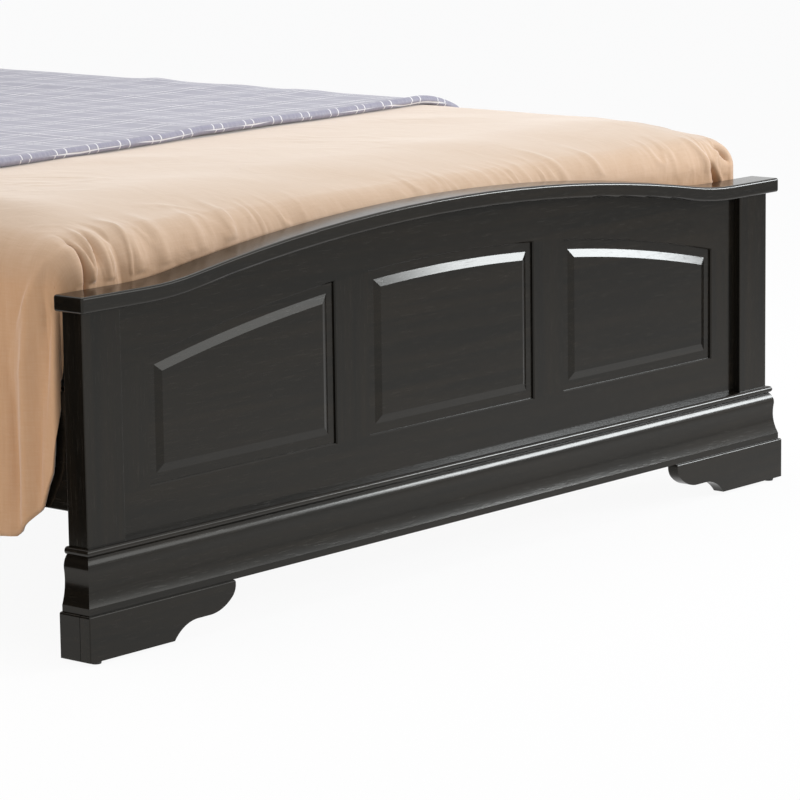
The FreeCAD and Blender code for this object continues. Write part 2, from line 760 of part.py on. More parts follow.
def makeLeveller(name, centre):
    """Screw leveller: a bevelled pad, a collar and the stem in one turned piece."""
    body = newBody(name)
    sketch = newSketch(body, "XZ_Plane")
    stem = size("stem_radius")
    pad_ = size("pad_radius")
    high = size("pad_high")
    closedLine(sketch, [(0, 0), (pad_ - 1, 0), (pad_, 1), (pad_, high - 2),
                        (pad_ - 2, high), (9, high), (9, high + 5),
                        (stem, high + 5), (stem, size("stem_high") - 1),
                        (stem - 1, size("stem_high")), (0, size("stem_high"))])
    turned = body.newObject("PartDesign::Revolution", name + "_turned")
    turned.Profile = sketch
    turned.ReferenceAxis = (sketch, ["V_Axis"])
    turned.Angle = 360
    place(body, 0, centre)
    pieces.append(body)


# ------------------------------------------- foundation, mattress, covers
def makeSoftBlock(name, half, front, back, low, high, corner, edge, wall):
    """A rounded block whose closed core, a spring unit or a timber grid, is left empty."""
    body = newBody(name + "_blank")
    sketch = newSketch(body, "XY_Plane", low)
    closedLine(sketch, [(-half, front), (half, front), (half, back), (-half, back)])
    pad(body, sketch, high - low)
    soften(body, corner, alongZ)
    soften(body, edge, lambda e: e.BoundBox.ZLength < 0.01)
    core = block(name + "_core", (wall - half, front + wall, low + wall),
                 (half - wall, back - wall, high - wall))
    pieces.append(place(cutAway(name, body, [core]), 0, 0))


def softTop(y, short=0.0):
    """Height and edge radius of the bed's top at y: it falls softly to the foot and head."""
    s = plain
    inside = min(y - s["cover_front"], s["cover_front"] + s["bed_long"] + 17.0 - y) - short
    share = 1.0 - min(1.0, max(0.0, inside / s["bed_soft"]))
    share = 1.0 - share * share
    top = s["bed_top"] + s["rest_gap"] - s["bed_fall"] * (1.0 - share)
    return top, s["cover_tight"] + (s["cover_round"] - s["cover_tight"]) * share


def crownBlock(name, low, gap, stations):
    """Solid under the covers: straight sides and the soft crowned top, gap below the cloth."""
    s = plain
    wires = []
    shoulder = s["cover_side"] - 22.0
    turn = math.sin(math.radians(45))
    for y in stations:
        top, corner = softTop(y, 12.0)
        top -= gap + 0.1 * (s["bed_top"] - top)
        edge = shoulder - corner

        def at(way, out, z):
            return V(way * (edge + out), y, z)

        left = [at(-1, corner, top - corner), at(-1, corner * turn, top - corner + corner * turn),
                at(-1, 0, top)]
        right = [at(1, 0, top), at(1, corner * turn, top - corner + corner * turn),
                 at(1, corner, top - corner)]
        ends = [at(-1, corner, low), at(1, corner, low)]
        edges = [Part.LineSegment(ends[0], left[0]), Part.Arc(*left),
                 Part.Arc(left[2], V(0, y, top + s["bed_crown"]), right[0]), Part.Arc(*right),
                 Part.LineSegment(right[2], ends[1]), Part.LineSegment(ends[1], ends[0])]
        wires.append(Part.Wire(Part.__sortEdges__([edge.toShape() for edge in edges])))
    solid = doc.addObject("Part::Feature", name)
    solid.Label = name
    solid.Shape = Part.makeLoft(wires, True, False)
    return solid


def drapeSection(y, hem, side, shoulder, crown, corner, thick, fold, lean=0.0):
    """One closed section across the bed: an upturned U with a crowned top.

    lean slants the section across the bed.
    """
    top, rise = crown
    knee = 400.0
    low = top - corner
    turn = math.sin(math.radians(45))

    def at(x, z):
        return V(x, y + lean * x, z)

    def half(grow, way):
        bend = corner + grow
        base = at(way * (side + grow + fold), hem)
        bow = at(way * (side + grow + 0.35 * fold), knee)
        shoulderPoint = at(way * (shoulder + grow), low)
        middlePoint = at(way * (shoulder - corner + bend * turn), low + bend * turn)
        upper = at(way * (shoulder - corner), top + grow)
        return base, bow, shoulderPoint, middlePoint, upper

    def run(grow):
        base, bow, side0, mid, upper = half(grow, -1)
        edges = [Part.LineSegment(base, bow), Part.LineSegment(bow, side0),
                 Part.Arc(side0, mid, upper)]
        base1, bow1, side1, mid1, upper1 = half(grow, 1)
        edges.append(Part.Arc(upper, at(0, top + grow + rise), upper1))
        edges += [Part.Arc(upper1, mid1, side1), Part.LineSegment(side1, bow1),
                  Part.LineSegment(bow1, base1)]
        return edges

    outer = run(thick)
    inner = run(0.0)
    hems = [Part.LineSegment(half(0.0, way)[0], half(thick, way)[0]) for way in (-1, 1)]
    edges = outer + [hems[1]] + inner + [hems[0]]
    return Part.Wire(Part.__sortEdges__([edge.toShape() for edge in edges]))


def makeMattress(low, front):
    """A block with soft upright corners under a crowned top, over two closed spring cores."""
    s = plain
    half = size("bed_half")
    back = front + size("bed_long")
    body = newBody("mattress_blank")
    sketch = newSketch(body, "XY_Plane", low)
    closedLine(sketch, [(-half, front), (half, front), (half, back), (-half, back)])
    pad(body, sketch, size("bed_top") + size("bed_crown") * 2 - low)
    soften(body, size("corner_round"), alongZ)
    floor = low.value
    soften(body, size("edge_round"), lambda e: e.BoundBox.ZMax < floor + 0.01)
    start = s["cover_front"]
    stations = [start + (s["cover_end"] + 34.0 - start) * number / 30 for number in range(31)]
    crown = crownBlock("mattress_crown", floor - 5.0, s["rest_gap"], stations)
    crowned = doc.addObject("Part::Common", "mattress_crowned")
    crowned.Label = "mattress_crowned"
    crowned.Base = body
    crowned.Tool = crown
    wall = size("bed_wall")
    top = size("bed_top") - wall
    inset = size("bed_soft") + wall
    cores = [block("mattress_core", (wall - half, front + wall, low + wall),
                   (half - wall, back - wall, top - size("bed_fall"))),
             block("mattress_core_high", (inset - half, front + inset, low + wall),
                   (half - inset, back - inset, top))]
    pieces.append(place(cutAway("mattress", crowned, cores), 0, 0))


def foldAt(y, wave, lean):
    """Depth of the folds along the bed: two waves that don't repeat together."""
    slow = 0.5 + 0.5 * math.sin(y / wave + lean)
    fast = 0.5 + 0.5 * math.sin(y / (wave * 0.62) + 1.7 * lean)
    return 0.6 * slow + 0.4 * fast


def makeCovers():
    s = plain
    shift = middle.value
    front = s["cover_front"]
    thick = s["cover_thick"]
    # The blanket: folds at the foot, running flat where the quilt lies on it.
    count = 30
    roll = s["foot_roll"]
    turned = [front + roll * part for part in (0.0, 0.06, 0.2, 0.42, 0.7, 1.0)]
    reach = turned[-1]
    stations = turned + [reach + (s["cover_end"] - reach) * number / count
                         for number in range(1, count + 1)]
    wires = []
    for y in stations:
        top, corner = softTop(y)
        # The cloth turns down over the foot edge on a quarter round.
        lack = max(0.0, roll - (y - front))
        top -= roll - math.sqrt(roll * roll - lack * lack)
        fade = min(1.0, max(0.0, (s["quilt_start"] - 20 - y) / 200.0))
        fade = fade * fade * (3 - 2 * fade)
        fold = s["cover_fold"] * foldAt(y, 50.0, 0.6) * fade
        wires.append(drapeSection(y, s["cover_hem"], s["cover_side"], s["cover_side"] - 22.0,
                                  (top, s["bed_crown"]), corner, thick, fold))
    shape = Part.makeLoft(wires[len(turned) - 1:], True, False)
    shape = shape.fuse(Part.makeLoft(wires[:len(turned)], True, True))
    top = softTop(front)[0] - roll
    wall = Part.makeBox(2 * s["bed_half"] + 20, thick, top + 2 - s["cover_tuck"],
                        V(-s["bed_half"] - 10, front, s["cover_tuck"]))
    shape = shape.fuse(wall)
    # The front lower corners of the side drops fall back from the post.
    outline = [V(0, 20, 462), V(0, 31, 462), V(0, 41, 362), V(0, 54, 257), V(0, 80, 208),
               V(0, 132, 150), V(0, 132, 100), V(0, 20, 100)]
    face = Part.Face(Part.makePolygon(outline + [outline[0]]))
    for start in (-900, 795):
        corner = face.extrude(V(105, 0, 0))
        corner.translate(V(start, 0, 0))
        shape = shape.cut(corner)
    blanket = doc.addObject("Part::Feature", "blanket")
    blanket.Label = "blanket"
    blanket.Shape = shape.removeSplitter()
    blanket.Placement = FreeCAD.Placement(V(0, shift, 0), FreeCAD.Rotation())
    pieces.append(blanket)
    # The quilt lies over the blanket from a little below the middle to the head.
    wires = []
    count = 24
    gap = 1.0
    for number in range(count + 1):
        y = s["quilt_start"] + (s["quilt_end"] - s["quilt_start"]) * number / count
        fold = s["quilt_fold"] * foldAt(y, 61.0, 2.1)
        top, corner = softTop(y)
        lean = s["quilt_lean"] * (1.0 - number / count)
        wires.append(drapeSection(y, s["quilt_hem"], s["cover_side"] + thick + gap,
                                  s["cover_side"] - 22.0 + thick + gap,
                                  (top + thick + gap, s["bed_crown"]), corner + thick + gap,
                                  s["quilt_thick"], fold, lean))
    quilt = doc.addObject("Part::Feature", "quilt")
    quilt.Label = "quilt"
    quilt.Shape = Part.makeLoft(wires, True, False)
    quilt.Placement = FreeCAD.Placement(V(0, shift, 0), FreeCAD.Rotation())
    pieces.append(quilt)


# ------------------------------------------------------------- assembly
makeFrame("foot", size("open_low"), size("base_low"), asSize(0), asSize(0))
makeFrame("head", size("head_open_low"), size("head_rail_low"), size("head_raise"), headFace)
footTop = size("cap_end_top") - size("cap_thick")
headTop = footTop + size("head_raise")
for side, title in ((-1, "left"), (1, "right")):
    makePost("foot_post_" + title, side, -proud, footTop, postBack, 1)
    makePost("head_post_" + title, side, headLine, headTop, headLine, -1)
    makeCatch("catch_plate_foot_" + title, side, postBack, 1)
    makeCatch("catch_plate_head_" + title, side, headLine, -1)
    makeHook("hook_plate_foot_" + title, side, postBack, 1)
    makeHook("hook_plate_head_" + title, side, headLine, -1)
makeBase()
makeFeet()
makeGlides()
makeRails()
makeSlats()
slatTop = size("ledger_low") + size("ledger_high") + size("slat_thick")
baseLow = slatTop + size("rest_gap")
baseFront = postBack + size("base_gap")
baseBack = headLine - size("base_gap")
baseTop = baseLow + size("base_high")
makeSoftBlock("foundation", size("base_half"), baseFront, baseBack, baseLow, baseTop, 30, 6,
              size("base_wall"))
bedFront = postBack + size("bed_gap")
makeMattress(baseTop + size("rest_gap"), bedFront)
makeCovers()

# --------------------------------------------------------------- output
doc.recompute()
for thing in doc.Objects:
    if "Invalid" in thing.State or "Error" in thing.State:
        raise RuntimeError("failed: %s %s" % (thing.Name, thing.State))
os.makedirs("parts", exist_ok=True)
whole = []
for piece in pieces:
    shape = piece.Shape
    if shape.isNull() or not shape.isValid():
        raise RuntimeError("bad shape: " + piece.Label)
    whole.append(shape)
    shape.exportStep("parts/%s.step" % piece.Label)
    print("%-28s solids %d volume %12.0f" % (piece.Label, len(shape.Solids), shape.Volume))
box = Part.makeCompound(whole).BoundBox
print("pieces %d" % len(pieces))
print("size %.2f x %.2f x %.2f" % (box.XLength, box.YLength, box.ZLength))
print("middle %.3f %.3f lowest %.3f" % (box.Center.x, box.Center.y, box.ZMin))
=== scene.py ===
# Panel bed: finishes, bedding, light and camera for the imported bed.
import json
import math
import random

import bmesh
import bpy
import numpy as np
from mathutils import Matrix, Vector

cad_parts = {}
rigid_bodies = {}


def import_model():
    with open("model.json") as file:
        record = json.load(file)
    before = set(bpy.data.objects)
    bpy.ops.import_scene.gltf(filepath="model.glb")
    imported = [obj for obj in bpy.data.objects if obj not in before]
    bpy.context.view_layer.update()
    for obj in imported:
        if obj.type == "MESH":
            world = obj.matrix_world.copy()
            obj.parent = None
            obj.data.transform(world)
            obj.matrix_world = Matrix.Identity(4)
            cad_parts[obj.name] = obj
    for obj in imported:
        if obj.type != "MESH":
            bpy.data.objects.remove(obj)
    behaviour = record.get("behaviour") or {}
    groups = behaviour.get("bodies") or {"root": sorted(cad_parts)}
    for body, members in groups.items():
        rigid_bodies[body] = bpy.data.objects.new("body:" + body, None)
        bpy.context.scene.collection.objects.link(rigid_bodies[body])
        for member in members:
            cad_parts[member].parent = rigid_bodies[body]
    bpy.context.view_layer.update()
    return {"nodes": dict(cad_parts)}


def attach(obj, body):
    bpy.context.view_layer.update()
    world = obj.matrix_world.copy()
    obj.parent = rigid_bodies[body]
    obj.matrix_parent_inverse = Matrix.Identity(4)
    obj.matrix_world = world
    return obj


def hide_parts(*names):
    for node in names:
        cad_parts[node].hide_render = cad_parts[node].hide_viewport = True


for leftover in list(bpy.data.objects):  # the start-up cube, lamp and camera
    bpy.data.objects.remove(leftover)
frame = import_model()
nodes = frame["nodes"]
print("bed frame loaded:", len(nodes), "nodes")


def stand(name, data):
    piece = bpy.data.objects.new(name, data)
    bpy.context.scene.collection.objects.link(piece)
    return piece


def standMesh(name, mesh):
    data = bpy.data.meshes.new(name)
    mesh.to_mesh(data)
    mesh.free()
    return stand(name, data)


cameraPlan = {
    "place": (-4.52919, -4.82606, 1.31056),
    "turn": -49.37,  # degrees from +Y, positive to the left
    "down": 10.15,
    "roll": -0.75,
    "lens": 174.64, "sensor": 36,  # millimetres
    "nearest": 0.05, "farthest": 60,
}


def setCamera(plan):
    turn, down, roll = (math.radians(plan[key]) for key in ("turn", "down", "roll"))
    forward = Vector((-math.sin(turn) * math.cos(down), math.cos(turn) * math.cos(down),
                      -math.sin(down)))
    level = Vector((math.cos(turn), math.sin(turn), 0))
    upright = level.cross(forward)
    right = math.cos(roll) * level + math.sin(roll) * upright
    top = -math.sin(roll) * level + math.cos(roll) * upright
    camera = stand("camera", bpy.data.cameras.new("camera"))
    camera.data.sensor_width = plan["sensor"]
    camera.data.lens = plan["lens"]
    camera.data.clip_start, camera.data.clip_end = plan["nearest"], plan["farthest"]
    camera.matrix_world = Matrix((
        (right.x, top.x, -forward.x, plan["place"][0]),
        (right.y, top.y, -forward.y, plan["place"][1]),
        (right.z, top.z, -forward.z, plan["place"][2]),
        (0, 0, 0, 1)))
    bpy.context.scene.camera = camera


setCamera(cameraPlan)
print("camera set")


def emptyFinish(name):
    material = bpy.data.materials.new(name)
    material.use_nodes = True
    material.node_tree.nodes.clear()
    return material, material.node_tree


def newFinish(name):
    material, tree = emptyFinish(name)
    out = tree.nodes.new("ShaderNodeOutputMaterial")
    shader = tree.nodes.new("ShaderNodeBsdfPrincipled")
    tree.links.new(shader.outputs["BSDF"], out.inputs["Surface"])
    return material, tree, shader


def put(tree, kind, inputs=None, **settings):
    node = tree.nodes.new(kind)
    for key, value in settings.items():
        setattr(node, key, value)
    for key, value in (inputs or {}).items():
        if isinstance(value, bpy.types.NodeSocket):
            tree.links.new(value, node.inputs[key])
        else:
            node.inputs[key].default_value = value
    return node


def spread(tree, source, scale, turn=(0, 0, 0), place=(0, 0, 0)):
    mapping = put(tree, "ShaderNodeMapping", {"Vector": source, "Scale": scale,
                                              "Rotation": turn, "Location": place})
    return mapping.outputs["Vector"]


def grainNoise(tree, source, scale, detail=3.0, rough=0.5, twist=0.0):
    noise = put(tree, "ShaderNodeTexNoise", {"Vector": source, "Scale": scale, "Detail": detail,
                                             "Roughness": rough, "Distortion": twist})
    return noise.outputs["Fac"]


def ramp(tree, source, stops):
    node = put(tree, "ShaderNodeValToRGB", {"Fac": source})
    marks = node.color_ramp.elements
    while len(marks) < len(stops):
        marks.new(0.5)
    for mark, (place, value) in zip(marks, stops):
        mark.position = place
        mark.color = (*value, 1) if isinstance(value, tuple) else (value, value, value, 1)
    return node.outputs["Color"]


def blendColour(tree, share, low, high, mode="MIX"):
    node = tree.nodes.new("ShaderNodeMix")
    node.data_type = "RGBA"
    node.blend_type = mode
    for key, value in ((0, share), (6, low), (7, high)):
        if isinstance(value, bpy.types.NodeSocket):
            tree.links.new(value, node.inputs[key])
        else:
            node.inputs[key].default_value = value if key == 0 else (*value, 1)
    return node.outputs[2]


def sum2(tree, kind, first, second):
    node = tree.nodes.new("ShaderNodeMath")
    node.operation = kind
    for key, value in ((0, first), (1, second)):
        if isinstance(value, bpy.types.NodeSocket):
            tree.links.new(value, node.inputs[key])
        else:
            node.inputs[key].default_value = value
    return node.outputs[0]


def raised(tree, height, depth, strength=1.0, under=None):
    inputs = {"Height": height, "Distance": depth, "Strength": strength}
    if under is not None:
        inputs["Normal"] = under
    return put(tree, "ShaderNodeBump", inputs).outputs["Normal"]


def stretch(along, fine, coarse):
    return tuple(coarse if axis == along else fine for axis in "XYZ")


ebonyLacquer = {
    "deep": (0.0052, 0.0047, 0.0038),
    "warm": (0.0130, 0.0096, 0.0062),
    "cloud": (0.0068, 0.0062, 0.0056),
    "pore": (0.0300, 0.0255, 0.0200),  # pale filler left in the open grain
    "poreShare": 0.28,
    "glossTint": (1.0, 0.975, 0.90, 1),
    "sheen": 0.150,  # roughness of the lacquer
    "sheenInGrain": 0.22,
    "index": 1.34,
    "poreDepth": 0.00003,
    "waviness": 0.00012,
    # noise turns in a metre, across the board and along it
    "streakGrain": (55, 2.2), "poreGrain": (520, 34), "flowGrain": (9, 2.5), "cloudGrain": 2.6,
}


def ebonyFinish(name, along, plan=ebonyLacquer, seed=0.0):
    material, tree, shader = newFinish(name)
    place = put(tree, "ShaderNodeTexCoord").outputs["Object"]
    # the seed cuts each finish from its own place in the grain
    board = spread(tree, place, (1, 1, 1), place=(seed, 2.3 * seed, 0.7 * seed))
    streaks = grainNoise(tree, spread(tree, board, stretch(along, *plan["streakGrain"])), 1.0,
                         5.0, 0.6, 0.4)
    patches = grainNoise(tree, board, plan["cloudGrain"], 2.0, 0.5)
    pores = grainNoise(tree, spread(tree, board, stretch(along, *plan["poreGrain"])), 1.0, 2.0,
                       0.55)
    openGrain = ramp(tree, pores, [(0.58, 0.0), (0.70, 1.0)])
    tone = blendColour(tree, ramp(tree, streaks, [(0.35, 0.0), (0.70, 1.0)]), plan["deep"],
                       plan["warm"])
    tone = blendColour(tree, ramp(tree, patches, [(0.35, 0.0), (0.75, 0.55)]), tone,
                       plan["cloud"])
    tone = blendColour(tree, sum2(tree, "MULTIPLY", openGrain, plan["poreShare"]), tone,
                       plan["pore"])
    tree.links.new(tone, shader.inputs["Base Color"])
    shine = put(tree, "ShaderNodeMapRange", {"Value": openGrain, "To Min": plan["sheen"],
                                             "To Max": plan["sheenInGrain"]}).outputs[0]
    tree.links.new(shine, shader.inputs["Roughness"])
    shader.inputs["IOR"].default_value = plan["index"]
    shader.inputs["Specular Tint"].default_value = plan["glossTint"]
    flow = grainNoise(tree, spread(tree, board, stretch(along, *plan["flowGrain"])), 1.0, 1.0)
    wavy = raised(tree, flow, plan["waviness"], 0.4)
    cut = raised(tree, sum2(tree, "SUBTRACT", 1.0, openGrain), plan["poreDepth"], 0.4, wavy)
    tree.links.new(cut, shader.inputs["Normal"])
    return material


woods = {along: ebonyFinish("ebonyLacquer" + along, along, seed=number * 1.7)
         for number, along in enumerate("XYZ")}
panelWood = ebonyFinish("panelLacquer", "X", seed=9.1)
capWood = ebonyFinish("capLacquer", "X", {**ebonyLacquer, "index": 1.38}, seed=4.3)  # brighter


def grainOf(name):
    if "panel_" in name:
        return panelWood
    if name.endswith("_cap"):
        return capWood
    if any(word in name for word in ("post", "stile", "mullion")):
        return woods["Z"]
    if any(word in name for word in ("side_rail", "return", "moulding_left", "moulding_right")):
        return woods["Y"]
    return woods["X"]


rawWood = {
    "pale": (0.60, 0.45, 0.29), "dark": (0.42, 0.28, 0.16),
    "fibre": (0.70, 0.55, 0.38), "fibreShare": 0.35, "fibreDepth": 0.0003,
    "roughness": 0.62,
    "ringGrain": (38, 1.1), "fibreGrain": (420, 14),  # noise turns in a metre, across and along
}


def planedFinish(name, along, plan=rawWood):
    material, tree, shader = newFinish(name)
    place = put(tree, "ShaderNodeTexCoord").outputs["Object"]
    rings = grainNoise(tree, spread(tree, place, stretch(along, *plan["ringGrain"])), 1.0, 4.0,
                       0.6, 0.8)
    fibre = grainNoise(tree, spread(tree, place, stretch(along, *plan["fibreGrain"])), 1.0, 2.0)
    tone = blendColour(tree, ramp(tree, rings, [(0.38, 0.0), (0.52, 0.75), (0.66, 0.15)]),
                       plan["pale"], plan["dark"])
    tone = blendColour(tree, sum2(tree, "MULTIPLY", fibre, plan["fibreShare"]), tone,
                       plan["fibre"])
    tree.links.new(tone, shader.inputs["Base Color"])
    shader.inputs["Roughness"].default_value = plan["roughness"]
    tree.links.new(raised(tree, fibre, plan["fibreDepth"], 0.4), shader.inputs["Normal"])
    return material


slatWoods = {along: planedFinish("planedPine" + along, along) for along in "XYZ"}


def plateFinish(name, tone, rough, metal=1.0, dull=0.72, scuffed=0.2):
    material, tree, shader = newFinish(name)
    place = put(tree, "ShaderNodeTexCoord").outputs["Object"]
    cloudy = grainNoise(tree, place, 60, 4.0, 0.6)
    scuffs = grainNoise(tree, spread(tree, place, (30, 420, 420)), 1.0, 2.0)
    low = tuple(dull * part for part in tone)
    tree.links.new(blendColour(tree, cloudy, low, tone), shader.inputs["Base Color"])
    shine = put(tree, "ShaderNodeMapRange", {"Value": scuffs, "To Min": rough,
                                             "To Max": rough + scuffed}).outputs[0]
    tree.links.new(shine, shader.inputs["Roughness"])
    shader.inputs["Metallic"].default_value = metal
    tree.links.new(raised(tree, cloudy, 0.0001, 0.4), shader.inputs["Normal"])
    return material


zincPlate = plateFinish("zincPlate", (0.58, 0.58, 0.60), 0.30)
blackSteel = plateFinish("blackSteel", (0.030, 0.030, 0.031), 0.42, 0.0)
glidePlastic = plateFinish("glidePlastic", (0.022, 0.020, 0.019), 0.5, 0.0)


def dress(piece, material):
    piece.data.materials.clear()
    piece.data.materials.append(material)


for name, piece in nodes.items():
    if name in ("blanket", "quilt", "mattress", "foundation"):
        continue
    if name.startswith(("slat", "ledger", "centre_leg")):
        dress(piece, slatWoods["X" if name.startswith("slat") else
                               "Y" if name.startswith("ledger") else "Z"])
    elif name.startswith(("hook", "catch")):
        dress(piece, zincPlate)
    elif name.startswith("leveller"):
        dress(piece, blackSteel)
    elif name == "glides":
        dress(piece, glidePlastic)
    else:
        dress(piece, grainOf(name))
print("frame finished in ebony lacquer")


tanCloth = {
    "light": (0.615, 0.362, 0.196), "deep": (0.545, 0.308, 0.158),
    "paintedLightTop": (0.525, 0.398, 0.290),  # painted light: the level top is made paler than the hanging sides, as if lit more brightly
    "paintedLightFrom": 0.52, "paintedLightTo": 0.60,  # height over the floor
    "paintedLightShare": 0.85,
    "thread": (0.78, 0.62, 0.46), "threadDepth": 0.0003, "creaseDepth": 0.004,
    "roughness": 0.72, "sheen": 0.60, "sheenSpread": 0.40, "sheenTint": (1.0, 0.97, 0.93, 1),
}


def tanFinish(name, plan=tanCloth):
    material, tree, shader = newFinish(name)
    flat = put(tree, "ShaderNodeUVMap", uv_map="cut").outputs["UV"]
    place = put(tree, "ShaderNodeTexCoord").outputs["Object"]
    cloud = grainNoise(tree, place, 3.2, 3.0, 0.5)
    slub = grainNoise(tree, spread(tree, flat, (30, 420, 1)), 1.0, 2.0)
    slubAcross = grainNoise(tree, spread(tree, flat, (420, 30, 1)), 1.0, 2.0)
    threads = sum2(tree, "MULTIPLY", slub, slubAcross)
    tone = blendColour(tree, ramp(tree, cloud, [(0.3, 0.0), (0.7, 1.0)]), plan["deep"],
                       plan["light"])
    # painted light: higher up, the colour turns paler towards the top, standing in for the brighter
    # light on the level top
    high = put(tree, "ShaderNodeSeparateXYZ", {0: place}).outputs[2]
    paintedLightMask = put(tree, "ShaderNodeMapRange", {"Value": high, "From Min": plan["paintedLightFrom"],
                                            "From Max": plan["paintedLightTo"], "To Min": 0.0,
                                            "To Max": plan["paintedLightShare"]}).outputs[0]
    tone = blendColour(tree, paintedLightMask, tone, plan["paintedLightTop"])
    tone = blendColour(tree, ramp(tree, threads, [(0.12, 0.0), (0.42, 0.12)]), tone,
                       plan["thread"])
    tree.links.new(tone, shader.inputs["Base Color"])
    shader.inputs["Roughness"].default_value = plan["roughness"]
    shader.inputs["Sheen Weight"].default_value = plan["sheen"]
    shader.inputs["Sheen Roughness"].default_value = plan["sheenSpread"]
    shader.inputs["Sheen Tint"].default_value = plan["sheenTint"]
    creases = grainNoise(tree, spread(tree, place, (17, 11, 24)), 1.0, 4.0, 0.55, 0.9)
    soft = raised(tree, creases, plan["creaseDepth"], 0.35)
    weave = raised(tree, threads, plan["threadDepth"], 0.35, soft)
    tree.links.new(weave, shader.inputs["Normal"])
    return material


greyCloth = {
    "light": (0.312, 0.307, 0.375), "deep": (0.252, 0.245, 0.315),
    "line": (0.84, 0.84, 0.84), "lineShare": 0.9, "lineDepth": 0.0012,
    "pitch": 0.078, "longer": 1.25,  # lines across the bed stand this much wider apart
    "pair": 0.022, "wide": 0.0025,
    "wander": (0.026, 0.026, 0.0),  # how far the lines stray
    "creaseDepth": 0.006, "fleckDepth": 0.0003,
    "roughness": 0.55, "sheen": 0.2, "sheenSpread": 0.4,
}


def pairOfLines(tree, coordinate, pitch, pair, wide):
    share = sum2(tree, "DIVIDE", coordinate, pitch)
    spot = sum2(tree, "MULTIPLY", sum2(tree, "FRACT", share, 0), pitch)
    off = sum2(tree, "ABSOLUTE", sum2(tree, "SUBTRACT", spot, pitch / 2), 0)
    near = sum2(tree, "ABSOLUTE", sum2(tree, "SUBTRACT", off, pair / 2), 0)
    return put(tree, "ShaderNodeMapRange", {"Value": near, "From Min": wide * 0.35,
                                            "From Max": wide * 0.65, "To Min": 1.0,
                                            "To Max": 0.0}).outputs[0]


def greyFinish(name, plan=greyCloth):
    material, tree, shader = newFinish(name)
    flat = put(tree, "ShaderNodeUVMap", uv_map="cut").outputs["UV"]
    wander = put(tree, "ShaderNodeTexNoise", {"Vector": spread(tree, flat, (7, 7, 1)),
                                              "Scale": 1.0, "Detail": 1.0}).outputs["Color"]
    moved = put(tree, "ShaderNodeVectorMath", {0: wander, 1: plan["wander"]},
                operation="MULTIPLY").outputs[0]
    drawn = put(tree, "ShaderNodeVectorMath", {0: flat, 1: moved}, operation="ADD").outputs[0]
    parts = put(tree, "ShaderNodeSeparateXYZ", {0: drawn})
    across = pairOfLines(tree, parts.outputs[0], plan["pitch"], plan["pair"], plan["wide"])
    down = pairOfLines(tree, parts.outputs[1], plan["pitch"] * plan["longer"], plan["pair"],
                       plan["wide"])
    lines = sum2(tree, "MAXIMUM", across, down)
    fleck = grainNoise(tree, spread(tree, flat, (260, 40, 1)), 1.0, 2.0)
    tone = blendColour(tree, ramp(tree, fleck, [(0.3, 0.0), (0.7, 1.0)]), plan["deep"],
                       plan["light"])
    tone = blendColour(tree, sum2(tree, "MULTIPLY", lines, plan["lineShare"]), tone,
                       plan["line"])
    tree.links.new(tone, shader.inputs["Base Color"])
    shader.inputs["Roughness"].default_value = plan["roughness"]
    shader.inputs["Sheen Weight"].default_value = plan["sheen"]
    shader.inputs["Sheen Roughness"].default_value = plan["sheenSpread"]
    place = put(tree, "ShaderNodeTexCoord").outputs["Object"]
    creases = grainNoise(tree, spread(tree, place, (9, 16, 12)), 1.0, 3.0, 0.5, 0.5)
    soft = raised(tree, creases, plan["creaseDepth"], 0.4)
    sewn = raised(tree, sum2(tree, "SUBTRACT", 1.0, lines), plan["lineDepth"], 0.5, soft)
    tree.links.new(raised(tree, fleck, plan["fleckDepth"], 0.4, sewn), shader.inputs["Normal"])
    return material


tickingCloth = {
    "ground": (0.78, 0.77, 0.73), "stripe": (0.50, 0.53, 0.58), "thread": (0.60, 0.59, 0.55),
    "stripeShare": 0.7, "threadShare": 0.2, "threadDepth": 0.0004,
    "pitch": 0.034, "pair": 0.006, "wide": 0.0022,
    "roughness": 0.8, "sheen": 0.15,
}


def tickingFinish(name, plan=tickingCloth):
    material, tree, shader = newFinish(name)
    flat = put(tree, "ShaderNodeUVMap", uv_map="cut").outputs["UV"]
    parts = put(tree, "ShaderNodeSeparateXYZ", {0: flat})
    stripe = pairOfLines(tree, parts.outputs[0], plan["pitch"], plan["pair"], plan["wide"])
    thread = grainNoise(tree, spread(tree, flat, (700, 90, 1)), 1.0, 2.0)
    tone = blendColour(tree, sum2(tree, "MULTIPLY", stripe, plan["stripeShare"]),
                       plan["ground"], plan["stripe"])
    tone = blendColour(tree, sum2(tree, "MULTIPLY", thread, plan["threadShare"]), tone,
                       plan["thread"])
    tree.links.new(tone, shader.inputs["Base Color"])
    shader.inputs["Roughness"].default_value = plan["roughness"]
    shader.inputs["Sheen Weight"].default_value = plan["sheen"]
    tree.links.new(raised(tree, thread, plan["threadDepth"], 0.5), shader.inputs["Normal"])
    return material


tanMaterial = tanFinish("tanBlanketCloth")
greyMaterial = greyFinish("greyQuiltCloth")
tickingMaterial = tickingFinish("mattressTicking")
print("fabrics mixed")


def ridgeField(across, down, ridges, sharp=1.6):
    # folds as rows of middle, depth, lean in degrees, reach, width and height
    total = np.zeros_like(across)
    for middle, depth, lean, reach, width, height in ridges:
        angle = math.radians(lean)
        a = (across - middle) * math.cos(angle) - (down - depth) * math.sin(angle)
        b = (across - middle) * math.sin(angle) + (down - depth) * math.cos(angle)
        total += height * np.exp(-np.abs(a / width) ** sharp) * np.exp(-np.abs(b / reach) ** 3)
    return total


def smooth(value, low, high):
    share = np.clip((value - low) / (high - low), 0, 1)
    return share * share * (3 - 2 * share)


hair = 0.00001  # points closer than this are one


